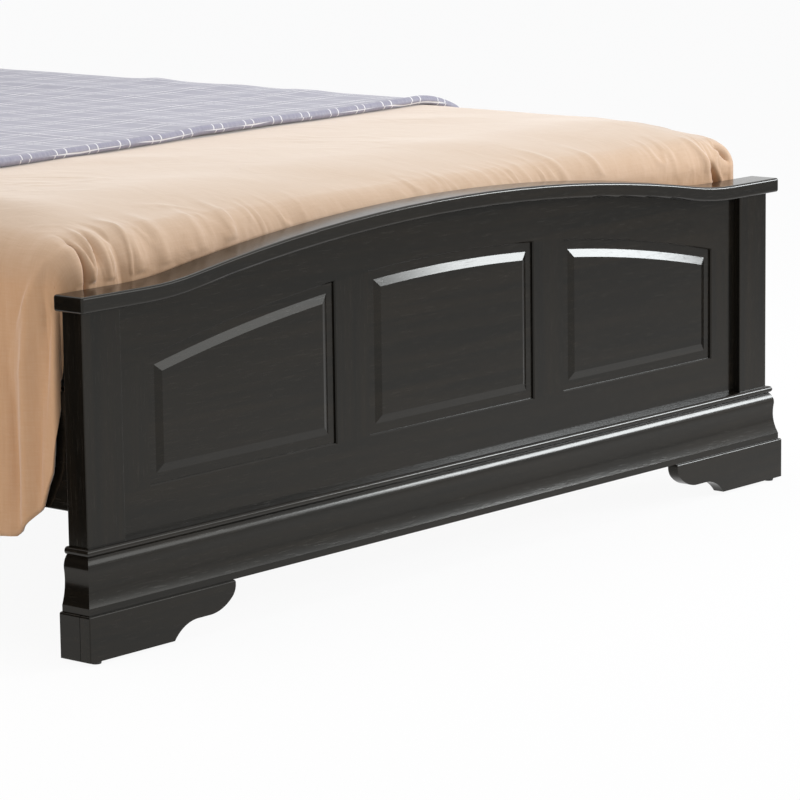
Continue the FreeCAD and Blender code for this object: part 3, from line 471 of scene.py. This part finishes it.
def meshFrom(name, grids, material, weldAt=hair):
    # grids of points with the place of each on the flat cut cloth, welded where they meet
    mesh = bmesh.new()
    sheet = mesh.loops.layers.uv.new("cut")
    for points, flats in grids:
        rows, columns = points.shape[:2]
        made = [[mesh.verts.new(points[r, c]) for c in range(columns)] for r in range(rows)]
        for r in range(rows - 1):
            for c in range(columns - 1):
                corners = ((r, c), (r, c + 1), (r + 1, c + 1), (r + 1, c))
                face = mesh.faces.new([made[i][j] for i, j in corners])
                for loop, (i, j) in zip(face.loops, corners):
                    loop[sheet].uv = flats[i, j]
    bmesh.ops.remove_doubles(mesh, verts=mesh.verts, dist=weldAt)
    bmesh.ops.dissolve_degenerate(mesh, edges=mesh.edges, dist=hair)
    bmesh.ops.recalc_face_normals(mesh, faces=mesh.faces)
    for face in mesh.faces:
        face.smooth = True
    piece = standMesh(name, mesh)
    piece.data.materials.append(material)
    return piece


crownPlan = {
    "high": 0.0395,  # the middle of the bed over its edges
    # where it starts to rise, and over how much it does
    "sideFrom": 0.8060, "sideSoft": 0.150,
    "footFrom": -1.0195, "headFrom": 1.0295, "endSoft": 0.225,
}


def crownAt(x, y, plan=crownPlan):
    # full in the middle, falling softly to the sides, the foot and the head
    side = np.clip((plan["sideFrom"] - np.abs(x)) / plan["sideSoft"], 0, 1)
    ends = np.clip(np.minimum(y - plan["footFrom"], plan["headFrom"] - y) / plan["endSoft"], 0, 1)
    return plan["high"] * (1 - (1 - side) ** 2) * (1 - (1 - ends) ** 2)


blanketPlan = {
    "foot": -1.0155,  # middle of the cloth in the foot drop
    "head": 0.9875,
    "edgeHigh": 0.5762,  # where the top starts to turn down
    "topHalf": 0.7660,
    "turn": 0.0400,  # radius of the edge
    "sideOut": 0.0435,  # how far out of the top's edge the side hangs
    "footHem": 0.4460, "sideHem": 0.1580,  # heights over the floor
    "cloth": 0.0045, "weldAt": 0.0001,
    "foldDepth": 0.0150,
    # heights of the creases, and their sizes across and along
    "footCrease": 0.0027, "footCreaseSize": (0.019, 0.085),
    "footWave": 0.0022, "footWaveSize": (0.055, 0.16),
    "sideCrease": 0.0034, "sideCreaseSize": (0.034, 0.15),
    "topCrease": 0.0017, "topCreaseSize": (0.030, 0.105),
    "topWaveShare": 0.9, "topWaveSize": (0.090, 0.26), "topSlant": (0.651, 0.759),
    "lapDepth": 0.0045, "lapFrom": -0.7660, "lapTo": -0.7615,
    # how near the foot drop may come to the footboard, under the cap's top and over it
    "roomUnder": 0.0012, "roomOver": 0.0075,
    # the corners at the foot: powers of a round and of a square one, hem, tuck and pleat
    "round": 0.95, "squaring": 0.53, "square": 0.42,
    "cornerHem": 0.392, "leftTuck": 0.013, "rightPleat": 0.014,
}
capTop = {"across": (0, 0.2, 0.4, 0.55, 0.68, 0.8),  # from the middle of the footboard out
          "high": (0.5745, 0.569, 0.552, 0.534, 0.519, 0.518)}
sideEdge = ((-1.0160, 0.446), (-1.0125, 0.400), (-1.0060, 0.352), (-0.9950, 0.262),
            (-0.9705, 0.208), (-0.9205, 0.162), (-0.86, blanketPlan["sideHem"]))  # y and height
flareLength = 0.13  # a hanging side is fully out this far below the turn


def dropProfile(run, turn, out):
    # round the edge and down: how far out, how far down, and the angle turned
    quarter = turn * math.pi / 2
    angle = np.clip(run / turn, 0, math.pi / 2)
    past = np.clip(run - quarter, 0, None)
    outward = turn * np.sin(angle) + (out - turn) * smooth(past, 0.0, flareLength)
    return outward, turn * (1 - np.cos(angle)) + past, angle


def hemAt(y):
    # the side drop's front edge hangs back from the post towards the floor
    return np.interp(y, [mark[0] for mark in sideEdge], [mark[1] for mark in sideEdge])


def latticeNoise(u, v, seed, repeat=64):
    # smooth values from -1 to 1 that turn about once per unit
    values = np.random.default_rng(seed).uniform(-1, 1, (repeat, repeat))
    left, low = np.floor(u).astype(int), np.floor(v).astype(int)
    a, b = u - left, v - low
    a, b = a * a * (3 - 2 * a), b * b * (3 - 2 * b)
    first, last = left % repeat, (left + 1) % repeat
    below, above = low % repeat, (low + 1) % repeat
    near = values[first, below] * (1 - a) + values[last, below] * a
    far = values[first, above] * (1 - a) + values[last, above] * a
    return near * (1 - b) + far * b


def creased(u, v, seed, sharp=2.2):
    # narrow ridges that wander and fork, with soft hollows between them
    bent = u + 0.7 * latticeNoise(0.6 * u, 0.9 * v, seed + 1)
    ridge = 1 - np.minimum(1, 2.1 * np.abs(latticeNoise(bent, v, seed)))
    small = 1 - np.minimum(1, 2.1 * np.abs(latticeNoise(2.3 * bent + 5, 1.7 * v, seed + 2)))
    return ridge ** sharp + 0.4 * small ** sharp - 0.45


footPleats = [  # middle x, depth past the edge, lean, reach, width, height
    (-0.7605, 0.055, 0, 0.042, 0.0030, -0.0260),
    (-0.7525, 0.046, 11, 0.038, 0.0036, 0.0070), (-0.7420, 0.044, -9, 0.044, 0.0045, 0.0085),
    (-0.7290, 0.030, -10, 0.026, 0.0065, -0.0070),
    (-0.7120, 0.060, 5, 0.060, 0.0080, 0.0050), (-0.6900, 0.055, 9, 0.060, 0.0080, -0.0045),
    (-0.6550, 0.045, 10, 0.070, 0.0120, 0.0046), (-0.6000, 0.040, 4, 0.065, 0.0120, 0.0036),
    (-0.5200, 0.045, -4, 0.075, 0.0130, 0.0040), (-0.4550, 0.040, -8, 0.070, 0.0100, 0.0034),
    (0.7330, 0.078, 31, 0.028, 0.0075, -0.0190), (0.7210, 0.068, 31, 0.034, 0.0045, 0.0045),
    (0.7460, 0.082, 31, 0.034, 0.0045, 0.0055),
    (0.7610, 0.036, 38, 0.018, 0.0060, -0.0160), (0.7000, 0.040, 18, 0.040, 0.0080, 0.0040),
    (0.5220, 0.079, 40, 0.010, 0.0030, -0.0060), (0.5320, 0.079, -40, 0.010, 0.0030, 0.0050),
    (0.3300, 0.030, 12, 0.070, 0.0100, 0.0035), (0.4200, 0.030, 6, 0.060, 0.0090, 0.0030),
]
frontFolds = [  # the same beside the post, with y along the bed and the depth down from the edge
    (-0.990, 0.15, 4, 0.090, 0.009, -0.0060), (-0.971, 0.26, 4, 0.200, 0.011, -0.0080),
    (-0.947, 0.27, 3, 0.210, 0.013, 0.0100), (-0.921, 0.30, -3, 0.230, 0.013, -0.0080),
    (-0.958, 0.09, 28, 0.060, 0.007, 0.0035), (-0.935, 0.12, 22, 0.070, 0.008, -0.0035),
]


def sideFolds(way, plan):
    dice = random.Random(7 + way)
    folds = list(frontFolds)
    y = -0.890  # long folds from here to the head, then small ones near the edge
    while y < plan["head"]:
        folds.append((y, 0.37, dice.uniform(-6, 6), dice.uniform(0.22, 0.33),
                      dice.uniform(0.020, 0.038), plan["foldDepth"] * dice.uniform(0.5, 1.0)))
        y += dice.uniform(0.080, 0.135)
    for number in range(24):
        folds.append((dice.uniform(-0.98, -0.30), dice.uniform(0.02, 0.20),
                      dice.uniform(-32, 32), dice.uniform(0.05, 0.14),
                      dice.uniform(0.007, 0.018), dice.uniform(-0.0024, 0.0036)))
    return folds


def makeBlanket(plan):
    corner = plan["foot"] + plan["turn"]
    half = plan["topHalf"]
    quarter = plan["turn"] * math.pi / 2
    xs = np.concatenate([np.linspace(-half, -0.66, 52), np.linspace(-0.66, 0.66, 300)[1:-1],
                         np.linspace(0.66, half, 52)])
    ys = np.concatenate([np.linspace(corner, -0.30, 160), np.linspace(-0.30, plan["head"], 52)[1:]])
    sides = {way: sideFolds(way, plan) for way in (-1, 1)}
    grids = []

    def lay(base, normal, flat, spot=None):
        # raises the creases out of the smooth form; they are placed on the flat cut of the cloth,
        # but round the corners on the hanging cloth itself, so that they run on across the seams
        fx, fy = flat[..., 0], flat[..., 1]
        pastFoot, pastSide = corner - fy, np.abs(fx) - half
        if spot is not None:
            fx, fy = spot[..., 0], spot[..., 1]
        bare = 1 - smooth(fy, -0.47, -0.40)
        hangs = smooth(pastFoot, -0.045, 0.030) * (1 - smooth(pastSide, 0.0, 0.015))
        gathered = smooth(latticeNoise(fx / 0.085 + 3, pastFoot / 0.30, 61), -0.55, 0.55)
        drawnIn = 0.20 + 0.80 * gathered
        lean = 0.35 * latticeNoise(fx / 0.16, 0 * fx + 2, 67)
        across, long = plan["footCreaseSize"]
        wave = plan["footCrease"] * hangs * drawnIn * \
            creased((fx + lean * pastFoot) / across, pastFoot / long, 11)
        across, long = plan["footWaveSize"]
        wave = wave + plan["footWave"] * hangs * latticeNoise(fx / across, pastFoot / long, 23)
        wave = wave + ridgeField(fx, pastFoot, footPleats)
        # the hanging side laps over the tucked drop at the left corner
        lap = (1 - smooth(fx, plan["lapFrom"], plan["lapTo"])) * smooth(pastFoot, 0.012, 0.030)
        wave = wave + plan["lapDepth"] * lap * (1 - smooth(pastSide, 0.0, 0.030))
        beside = smooth(pastSide, -0.030, 0.050) * (1 - smooth(pastFoot, 0.0, 0.020))
        across, long = plan["sideCreaseSize"]
        wave = wave + plan["sideCrease"] * beside * \
            creased(fy / across + np.where(fx > 0, 40, 0), pastSide / long, 31) * \
            smooth(latticeNoise(fy / 0.13, pastSide / 0.22, 71), -0.7, 0.5)
        # slanting creases over the top in loose patches, most of them to the left
        least, most = plan["topSlant"]
        along, over = least * fx - most * fy, most * fx + least * fy
        top = (1 - smooth(pastFoot, -0.03, 0.04)) * (1 - smooth(pastSide, -0.02, 0.03))
        patch = smooth(latticeNoise(over / 0.13 + 1, along / 0.21, 59), -0.15, 0.75)
        patch = patch * (0.35 + 0.65 * (1 - smooth(fx, -0.25, 0.25)))
        across, long = plan["topCreaseSize"]
        broad, far = plan["topWaveSize"]
        wave = wave + plan["topCrease"] * top * bare * \
            (patch * creased(over / across + 9, along / long, 47, 1.6) +
             plan["topWaveShare"] * latticeNoise(over / broad, along / far, 53))
        for way in (-1, 1):
            wave = wave + np.where(way * fx > 0, ridgeField(fy, pastSide, sides[way]),
                                   0) * (1 - smooth(fy, -0.42, -0.35))
        move = normal * wave[..., None]
        high, wide = base[..., 2], np.abs(base[..., 0])
        capHigh = np.interp(wide, capTop["across"], capTop["high"])
        room = plan["roomUnder"] + plan["roomOver"] * smooth(high, capHigh + 0.003,
                                                             capHigh + 0.012)
        atFoot = smooth(-normal[..., 1], 0.0, 0.1)
        move[..., 1] = np.where(atFoot > 0, np.maximum(move[..., 1], -room), move[..., 1])
        crown = crownAt(base[..., 0], base[..., 1])
        grids.append((base + move + np.dstack([0 * crown, 0 * crown, crown]), flat))

    # the top, from side to side and from foot to head
    X, Y = np.meshgrid(xs, ys)
    none = np.zeros_like(X)
    lay(np.dstack([X, Y, none + plan["edgeHigh"]]), np.dstack([none, none, none + 1]),
        np.dstack([X, Y]))

    # the foot drop, tucked down behind the footboard
    share = np.linspace(0, 1, 60) ** 1.2
    X, S = np.meshgrid(xs, share)
    run = S * (quarter + plan["edgeHigh"] - plan["turn"] - plan["footHem"])
    out, down, angle = dropProfile(run, plan["turn"], plan["turn"])
    lay(np.dstack([X, corner - out, plan["edgeHigh"] - down]),
        np.dstack([0 * X, -np.sin(angle), np.cos(angle)]), np.dstack([X, corner - run]))

    # the side drops
    for way in (-1, 1):
        Y, S = np.meshgrid(ys, share)
        run = S * (quarter + plan["edgeHigh"] - plan["turn"] - hemAt(Y))
        out, down, angle = dropProfile(run, plan["turn"], plan["sideOut"])
        lay(np.dstack([way * (half + out), Y, plan["edgeHigh"] - down]),
            np.dstack([way * np.sin(angle), 0 * Y, np.cos(angle)]),
            np.dstack([way * (half + run), Y]))

    # the two corners at the foot, pleated between the tucked drop and the hanging one
    for way in (-1, 1):
        T, S = np.meshgrid(np.linspace(0, math.pi / 2, 65), share)
        yOut = corner - plan["turn"] * np.cos(T) ** plan["square"]
        hem = np.maximum(hemAt(yOut), np.where(T < 1.0, plan["cornerHem"], 0))
        hem = np.where(T <= 0, plan["footHem"], hem)
        run = S * (quarter + plan["edgeHigh"] - plan["turn"] - hem)
        outSide, down, angle = dropProfile(run, plan["turn"], plan["sideOut"])
        outFoot, _, _ = dropProfile(run, plan["turn"], plan["turn"])
        # round above, square beside the post
        power = plan["round"] - plan["squaring"] * smooth(down, 0.05, 0.15)
        if way < 0:  # smooth above, drawn back behind the end of the cap
            pleat = -plan["leftTuck"] * (1 - smooth(T, 0.80, 1.30)) * smooth(run, 0.080, 0.120)
        else:
            pleat = -plan["rightPleat"] * np.exp(-((T - 1.10) / 0.09) ** 2) * \
                smooth(run, 0.022, 0.055) * (1 - smooth(run, 0.15, 0.22))
        facing = np.dstack([way * np.sin(T) * np.sin(angle), -np.cos(T) * np.sin(angle),
                            np.cos(angle)])
        flatWay = np.dstack([way * np.sin(T), -np.cos(T), 0 * T])
        base = np.dstack([way * (half + outSide * np.sin(T) ** power),
                          corner - outFoot * np.cos(T) ** power, plan["edgeHigh"] - down])
        lay(base + flatWay * pleat[..., None], facing,
            np.dstack([way * (half + run * np.sin(T)), corner - run * np.cos(T)]), base)

    piece = meshFrom("tanBlanket", grids, tanMaterial, plan["weldAt"])
    thick = piece.modifiers.new("clothThickness", "SOLIDIFY")
    thick.thickness = plan["cloth"]
    thick.offset = 0
    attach(piece, "bedding")
    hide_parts("blanket")


makeBlanket(blanketPlan)


quiltPlan = {
    "foot": -0.4655, "skew": 0.070,  # the foot edge lies a little askew
    "head": 0.9800, "above": 0.0077,  # middle of the quilt above the middle of the blanket
    "topHalf": 0.7660, "turn": 0.0477, "sideOut": 0.0520, "hem": 0.2010, "cloth": 0.0090,
    "foldDepth": 0.0130, "roll": 0.0078,
}


def makeQuilt(plan):
    half = plan["topHalf"]
    dice = random.Random(19)
    edgeHigh = blanketPlan["edgeHigh"] + plan["above"]
    long = plan["turn"] * math.pi / 2 + edgeHigh - plan["turn"] - plan["hem"]
    us = np.concatenate([-(half + long * np.linspace(1, 0, 40)), np.linspace(-half, half, 130)[1:],
                         half + long * np.linspace(0, 1, 40)[1:]])
    folds = {}
    for way in (-1, 1):
        made, y = [], plan["foot"] + 0.03
        while y < plan["head"]:
            made.append((y, 0.33, dice.uniform(-4, 4), dice.uniform(0.20, 0.30),
                         dice.uniform(0.024, 0.045), plan["foldDepth"] * dice.uniform(0.4, 1.0)))
            y += dice.uniform(0.10, 0.17)
        folds[way] = made
    soft = [(dice.uniform(-0.8, 0.8), dice.uniform(-0.47, 0.95), dice.uniform(0, 180),
             dice.uniform(0.10, 0.30), dice.uniform(0.02, 0.05), dice.uniform(-0.0015, 0.0032))
            for number in range(60)]
    U, share = np.meshgrid(us, np.linspace(0, 1, 170) ** 1.1)
    flatX = np.clip(U, -half, half)
    way = np.sign(U)
    run = np.clip(np.abs(U) - half, 0, None)
    out, down, angle = dropProfile(run, plan["turn"], plan["sideOut"])
    start = plan["foot"] + plan["skew"] * (flatX + way * out * 0.5)
    Y = start + (plan["head"] - start) * share
    wave = ridgeField(U, Y, soft) * np.cos(angle)
    for side in (-1, 1):
        wave = wave + np.where(way == side, ridgeField(Y, run, folds[side]), 0) * np.sin(angle)
    top = edgeHigh + crownAt(np.abs(flatX) + out * blanketPlan["turn"] / plan["turn"], Y)
    pts = np.dstack([flatX + way * (out + wave * np.sin(angle)), Y,
                     top - down + wave * np.cos(angle)])
    piece = meshFrom("greyQuilt", [(pts, np.dstack([U, Y]))], greyMaterial)
    thick = piece.modifiers.new("filling", "SOLIDIFY")
    thick.thickness = plan["cloth"]
    thick.offset = 0
    edge = piece.modifiers.new("rolledEdge", "BEVEL")
    edge.width = plan["cloth"] * 0.42
    edge.segments = 3
    edge.limit_method = "ANGLE"
    edge.angle_limit = math.radians(50)
    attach(piece, "bedding")
    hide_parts("quilt")
    # the foot edge is a round roll; its skin takes the same lines
    lifted = np.column_stack([0 * us, 0 * us, np.full(len(us), plan["roll"]) * 0.35])
    line = pts[0] + lifted * np.cos(angle[0])[:, None]
    along = np.gradient(line, axis=0)
    along /= np.linalg.norm(along, axis=1)[:, None]
    level = np.cross(along, np.column_stack([way[0] * np.sin(angle[0]), 0 * us, np.cos(angle[0])]))
    level /= np.linalg.norm(level, axis=1)[:, None]
    upright = np.cross(level, along)
    turns = np.linspace(0, 2 * math.pi, 17)
    tube = np.array([line + plan["roll"] * (math.cos(t) * level + math.sin(t) * upright)
                     for t in turns])
    # the skin's strip of the pattern lies between two pairs of lines
    longer, pitch = greyCloth["longer"], greyCloth["pitch"]
    between = longer * pitch * round(plan["foot"] / longer / pitch)
    flats = np.array([
        np.column_stack([us, np.full(len(us), between + plan["roll"] * (t - math.pi))])
        for t in turns])
    roll = meshFrom("quiltRoll", [(tube, flats)], greyMaterial)
    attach(roll, "bedding")


makeQuilt(quiltPlan)


mattressPlan = {
    "half": 0.7600, "foot": -1.0075, "head": 1.0200, "low": 0.3985, "high": 0.5690,
    "corner": 0.060, "edge": 0.034,  # radii, seen from above and from the side
    "crown": 0.97,  # share of the bed's crown
    "pipe": 0.0032, "pipeInset": 0.29,  # the piping's radius, and its place on the edge
}
foundationPlan = {
    **mattressPlan, "half": 0.7565, "foot": -1.0080, "head": 1.0250, "low": 0.2680,
    "high": 0.3965, "corner": 0.030, "edge": 0.010, "crown": 0.0, "pipe": 0.0028,
}


def straightSide(last, spot, run):
    return [(last[0] + (spot[0] - last[0]) * part / run,
             last[1] + (spot[1] - last[1]) * part / run) for part in range(1, run)]


def roundedPath(half, foot, head, corner, step=8, run=24):
    points = []
    for cx, cy, start in ((half - corner, foot + corner, -90), (half - corner, head - corner, 0),
                          (corner - half, head - corner, 90), (corner - half, foot + corner, 180)):
        for number in range(step + 1):
            angle = math.radians(start + 90 * number / step)
            spot = (cx + corner * math.cos(angle), cy + corner * math.sin(angle))
            if number == 0 and points:
                points += straightSide(points[-1], spot, run)
            points.append(spot)
    return points + straightSide(points[-1], points[0], run)


def makeBlock(name, plan, body, node):
    ring = np.array(roundedPath(plan["half"], plan["foot"], plan["head"], plan["corner"]))
    centre = np.array([0.0, (plan["foot"] + plan["head"]) / 2])
    edge = plan["edge"]
    insets = (0.03, 0.06, 0.10, 0.15, 0.21, 0.28, 0.38, 0.50, 0.64, 0.80)  # shares of the way in
    levels = [(inset, plan["low"]) for inset in reversed(insets)]
    for angle in np.radians((0, 30, 60, 90)):
        levels.append((-edge * (1 - math.sin(angle)), plan["low"] + edge * (1 - math.cos(angle))))
    for share in (0.25, 0.5, 0.75):
        levels.append((0.0, plan["low"] + edge + (plan["high"] - plan["low"] - 2 * edge) * share))
    for angle in np.radians((0, 30, 60, 90)):
        levels.append((-edge * (1 - math.cos(angle)), plan["high"] - edge * (1 - math.sin(angle))))
    levels += [(inset, plan["high"]) for inset in insets]
    rows, flats = [], []
    steps = np.linalg.norm(np.diff(np.vstack([ring, ring[:1]]), axis=0), axis=1)
    lengths = np.concatenate([[0], np.cumsum(steps)])
    size = np.array([plan["half"], (plan["head"] - plan["foot"]) / 2])
    for value, z in levels:
        # rings drawn in by a share close the top and bottom, the others step in by metres
        scale = 1 - value if value > 0 else 1 + value / size
        points = centre + (ring - centre) * scale
        points = np.vstack([points, points[:1]])
        upper = smooth(z, plan["low"] + edge, plan["high"]) * plan["crown"]
        high = z + upper * crownAt(points[:, 0], points[:, 1])
        rows.append(np.column_stack([points, high]))
        flats.append(points.copy() if value > 0 else np.column_stack([lengths, 0 * lengths + z]))
    grid = np.array(rows)
    piece = meshFrom(name, [(grid, np.array(flats))], tickingMaterial)
    caps = bmesh.new()
    caps.from_mesh(piece.data)
    bmesh.ops.holes_fill(caps, edges=[e for e in caps.edges if e.is_boundary], sides=0)
    for face in caps.faces:
        face.smooth = True
    bmesh.ops.recalc_face_normals(caps, faces=caps.faces)
    caps.to_mesh(piece.data)
    caps.free()
    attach(piece, body)
    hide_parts(node)
    # piping sewn round the upper and lower edges
    inset = plan["pipeInset"] * edge
    for label, z in (("Low", plan["low"] + inset), ("High", plan["high"] - inset)):
        line = bpy.data.curves.new(name + "Piping" + label, "CURVE")
        line.dimensions = "3D"
        line.bevel_depth = plan["pipe"]
        line.bevel_resolution = 3
        spline = line.splines.new("POLY")
        path = roundedPath(plan["half"] - inset, plan["foot"] + inset, plan["head"] - inset,
                           plan["corner"] - inset)
        spline.points.add(len(path) - 1)
        for point, (x, y) in zip(spline.points, path):
            lift = plan["crown"] * float(crownAt(x, y)) if label == "High" else 0
            point.co = (x, y, z + lift, 1)
        spline.use_cyclic_u = True
        pipe = stand(name + "Piping" + label, line)
        line.materials.append(tickingMaterial)
        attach(pipe, body)


makeBlock("mattressPad", mattressPlan, "bedding", "mattress")
makeBlock("foundationBox", foundationPlan, "foundation", "foundation")
print("mattress and foundation covered")


def softBox(name, place, aim, size, watts, colour):
    lamp = bpy.data.lights.new(name, "AREA")
    lamp.shape = "RECTANGLE"
    lamp.size, lamp.size_y = size
    lamp.energy = watts
    lamp.color = colour
    holder = stand(name, lamp)
    holder.location = place
    holder.rotation_euler = (Vector(aim) - Vector(place)).to_track_quat("-Z", "Y").to_euler()


lightPlan = {  # place, aim, size, watts and colour
    "frontRight": ((3.50, -3.22, 1.42), (0.47, -1.05, 0.47), (1.15, 1.0), 88, (0.90, 0.95, 1.0)),
    "frontMiddle": ((2.80, -3.42, 1.38), (0.0, -1.05, 0.45), (0.55, 0.9), 6, (0.92, 0.96, 1.0)),
    "frontLeft": ((1.30, -3.70, 1.45), (-0.4, -1.05, 0.4), (1.7, 1.3), 20, (0.94, 0.97, 1.0)),
    "overhead": ((0.2, -0.3, 3.6), (0.0, -0.2, 0.5), (3.0, 3.4), 66, (1.0, 0.97, 0.93)),
    "leftFill": ((-4.0, 0.8, 1.9), (-0.8, 0.0, 0.4), (2.2, 1.8), 32, (1.0, 0.84, 0.66)),
}
for name, settings in lightPlan.items():
    softBox(name, *settings)


def whiteForView(tree, whiteness):
    path = put(tree, "ShaderNodeLightPath")
    seen = sum2(tree, "MAXIMUM", path.outputs["Is Camera Ray"], path.outputs["Is Glossy Ray"])
    seen = sum2(tree, "MAXIMUM", seen, path.outputs["Is Transmission Ray"])
    return sum2(tree, "MULTIPLY", seen, whiteness)


def blendShaders(tree, share, low, high, end="ShaderNodeOutputMaterial"):
    mix = put(tree, "ShaderNodeMixShader", {0: share, 1: low.outputs[0], 2: high.outputs[0]})
    put(tree, end, {"Surface": mix.outputs[0]})


studioPlan = {
    "dimColour": (0.93, 0.95, 1.0, 1), "dimStrength": 0.54,
    "white": (1, 1, 1, 1),
    "floorColour": (0.88, 0.88, 0.88, 1), "floorWhite": 0.93, "floorHalf": 14,
    "cardColour": (0.01, 0.01, 0.01, 1),
}


def setWorld(plan):
    world = bpy.data.worlds.new("studio")
    bpy.context.scene.world = world
    world.use_nodes = True
    tree = world.node_tree
    tree.nodes.clear()
    dim = put(tree, "ShaderNodeBackground", {"Color": plan["dimColour"],
                                             "Strength": plan["dimStrength"]})
    white = put(tree, "ShaderNodeBackground", {"Color": plan["white"], "Strength": 1.0})
    blendShaders(tree, whiteForView(tree, 1.0), dim, white, "ShaderNodeOutputWorld")


def layFloor(plan):
    mesh = bmesh.new()
    bmesh.ops.create_grid(mesh, x_segments=2, y_segments=2, size=plan["floorHalf"])
    floor = standMesh("studioFloor", mesh)
    material, tree = emptyFinish("paleFloor")
    matt = put(tree, "ShaderNodeBsdfDiffuse", {"Color": plan["floorColour"]})
    white = put(tree, "ShaderNodeEmission", {"Color": plan["white"], "Strength": 1.0})
    blendShaders(tree, whiteForView(tree, plan["floorWhite"]), matt, white)
    floor.data.materials.append(material)


paintedReflectionCards = {  # painted dark reflections, cards only gloss sees: corners, where along x a card turns from clear to dark, and how dark it gets
    "cardLeft": (((-1.30, -1.0, 0.0), (-1.30, 1.6, 0.0), (-1.30, 1.6, 1.6), (-1.30, -1.0, 1.6)),
                 (-3.0, -2.0), 1.0),
    "cardRight": (((0.5, -6.0, 0.004), (6.0, -6.0, 0.004), (6.0, -1.15, 0.004),
                   (0.5, -1.15, 0.004)), (0.6, 3.6), 0.55),
}


# painted reflection: a dark sheet that only glossy rays see, darkening the reflections in the wood
# where the studio is dark
def hangCard(name, corners, fade, most, colour=studioPlan["cardColour"]):
    mesh = bmesh.new()
    mesh.faces.new([mesh.verts.new(spot) for spot in corners])
    card = standMesh(name, mesh)
    material, tree = emptyFinish(name)
    place = put(tree, "ShaderNodeTexCoord").outputs["Object"]
    along = put(tree, "ShaderNodeSeparateXYZ", {0: place}).outputs[0]
    share = put(tree, "ShaderNodeMapRange", {"Value": along, "From Min": fade[0],
                                             "From Max": fade[1], "To Max": most}).outputs[0]
    clear = put(tree, "ShaderNodeBsdfTransparent")
    black = put(tree, "ShaderNodeBsdfDiffuse", {"Color": colour})
    blendShaders(tree, share, clear, black)
    card.data.materials.append(material)
    card.visible_camera = card.visible_diffuse = card.visible_transmission = False
    card.visible_shadow = False  # only gloss sees it, so the card is a painted dark reflection


setWorld(studioPlan)
layFloor(studioPlan)
for name, settings in paintedReflectionCards.items():
    hangCard(name, *settings)
bpy.context.scene.view_settings.view_transform = "Standard"
print("light and floor ready")
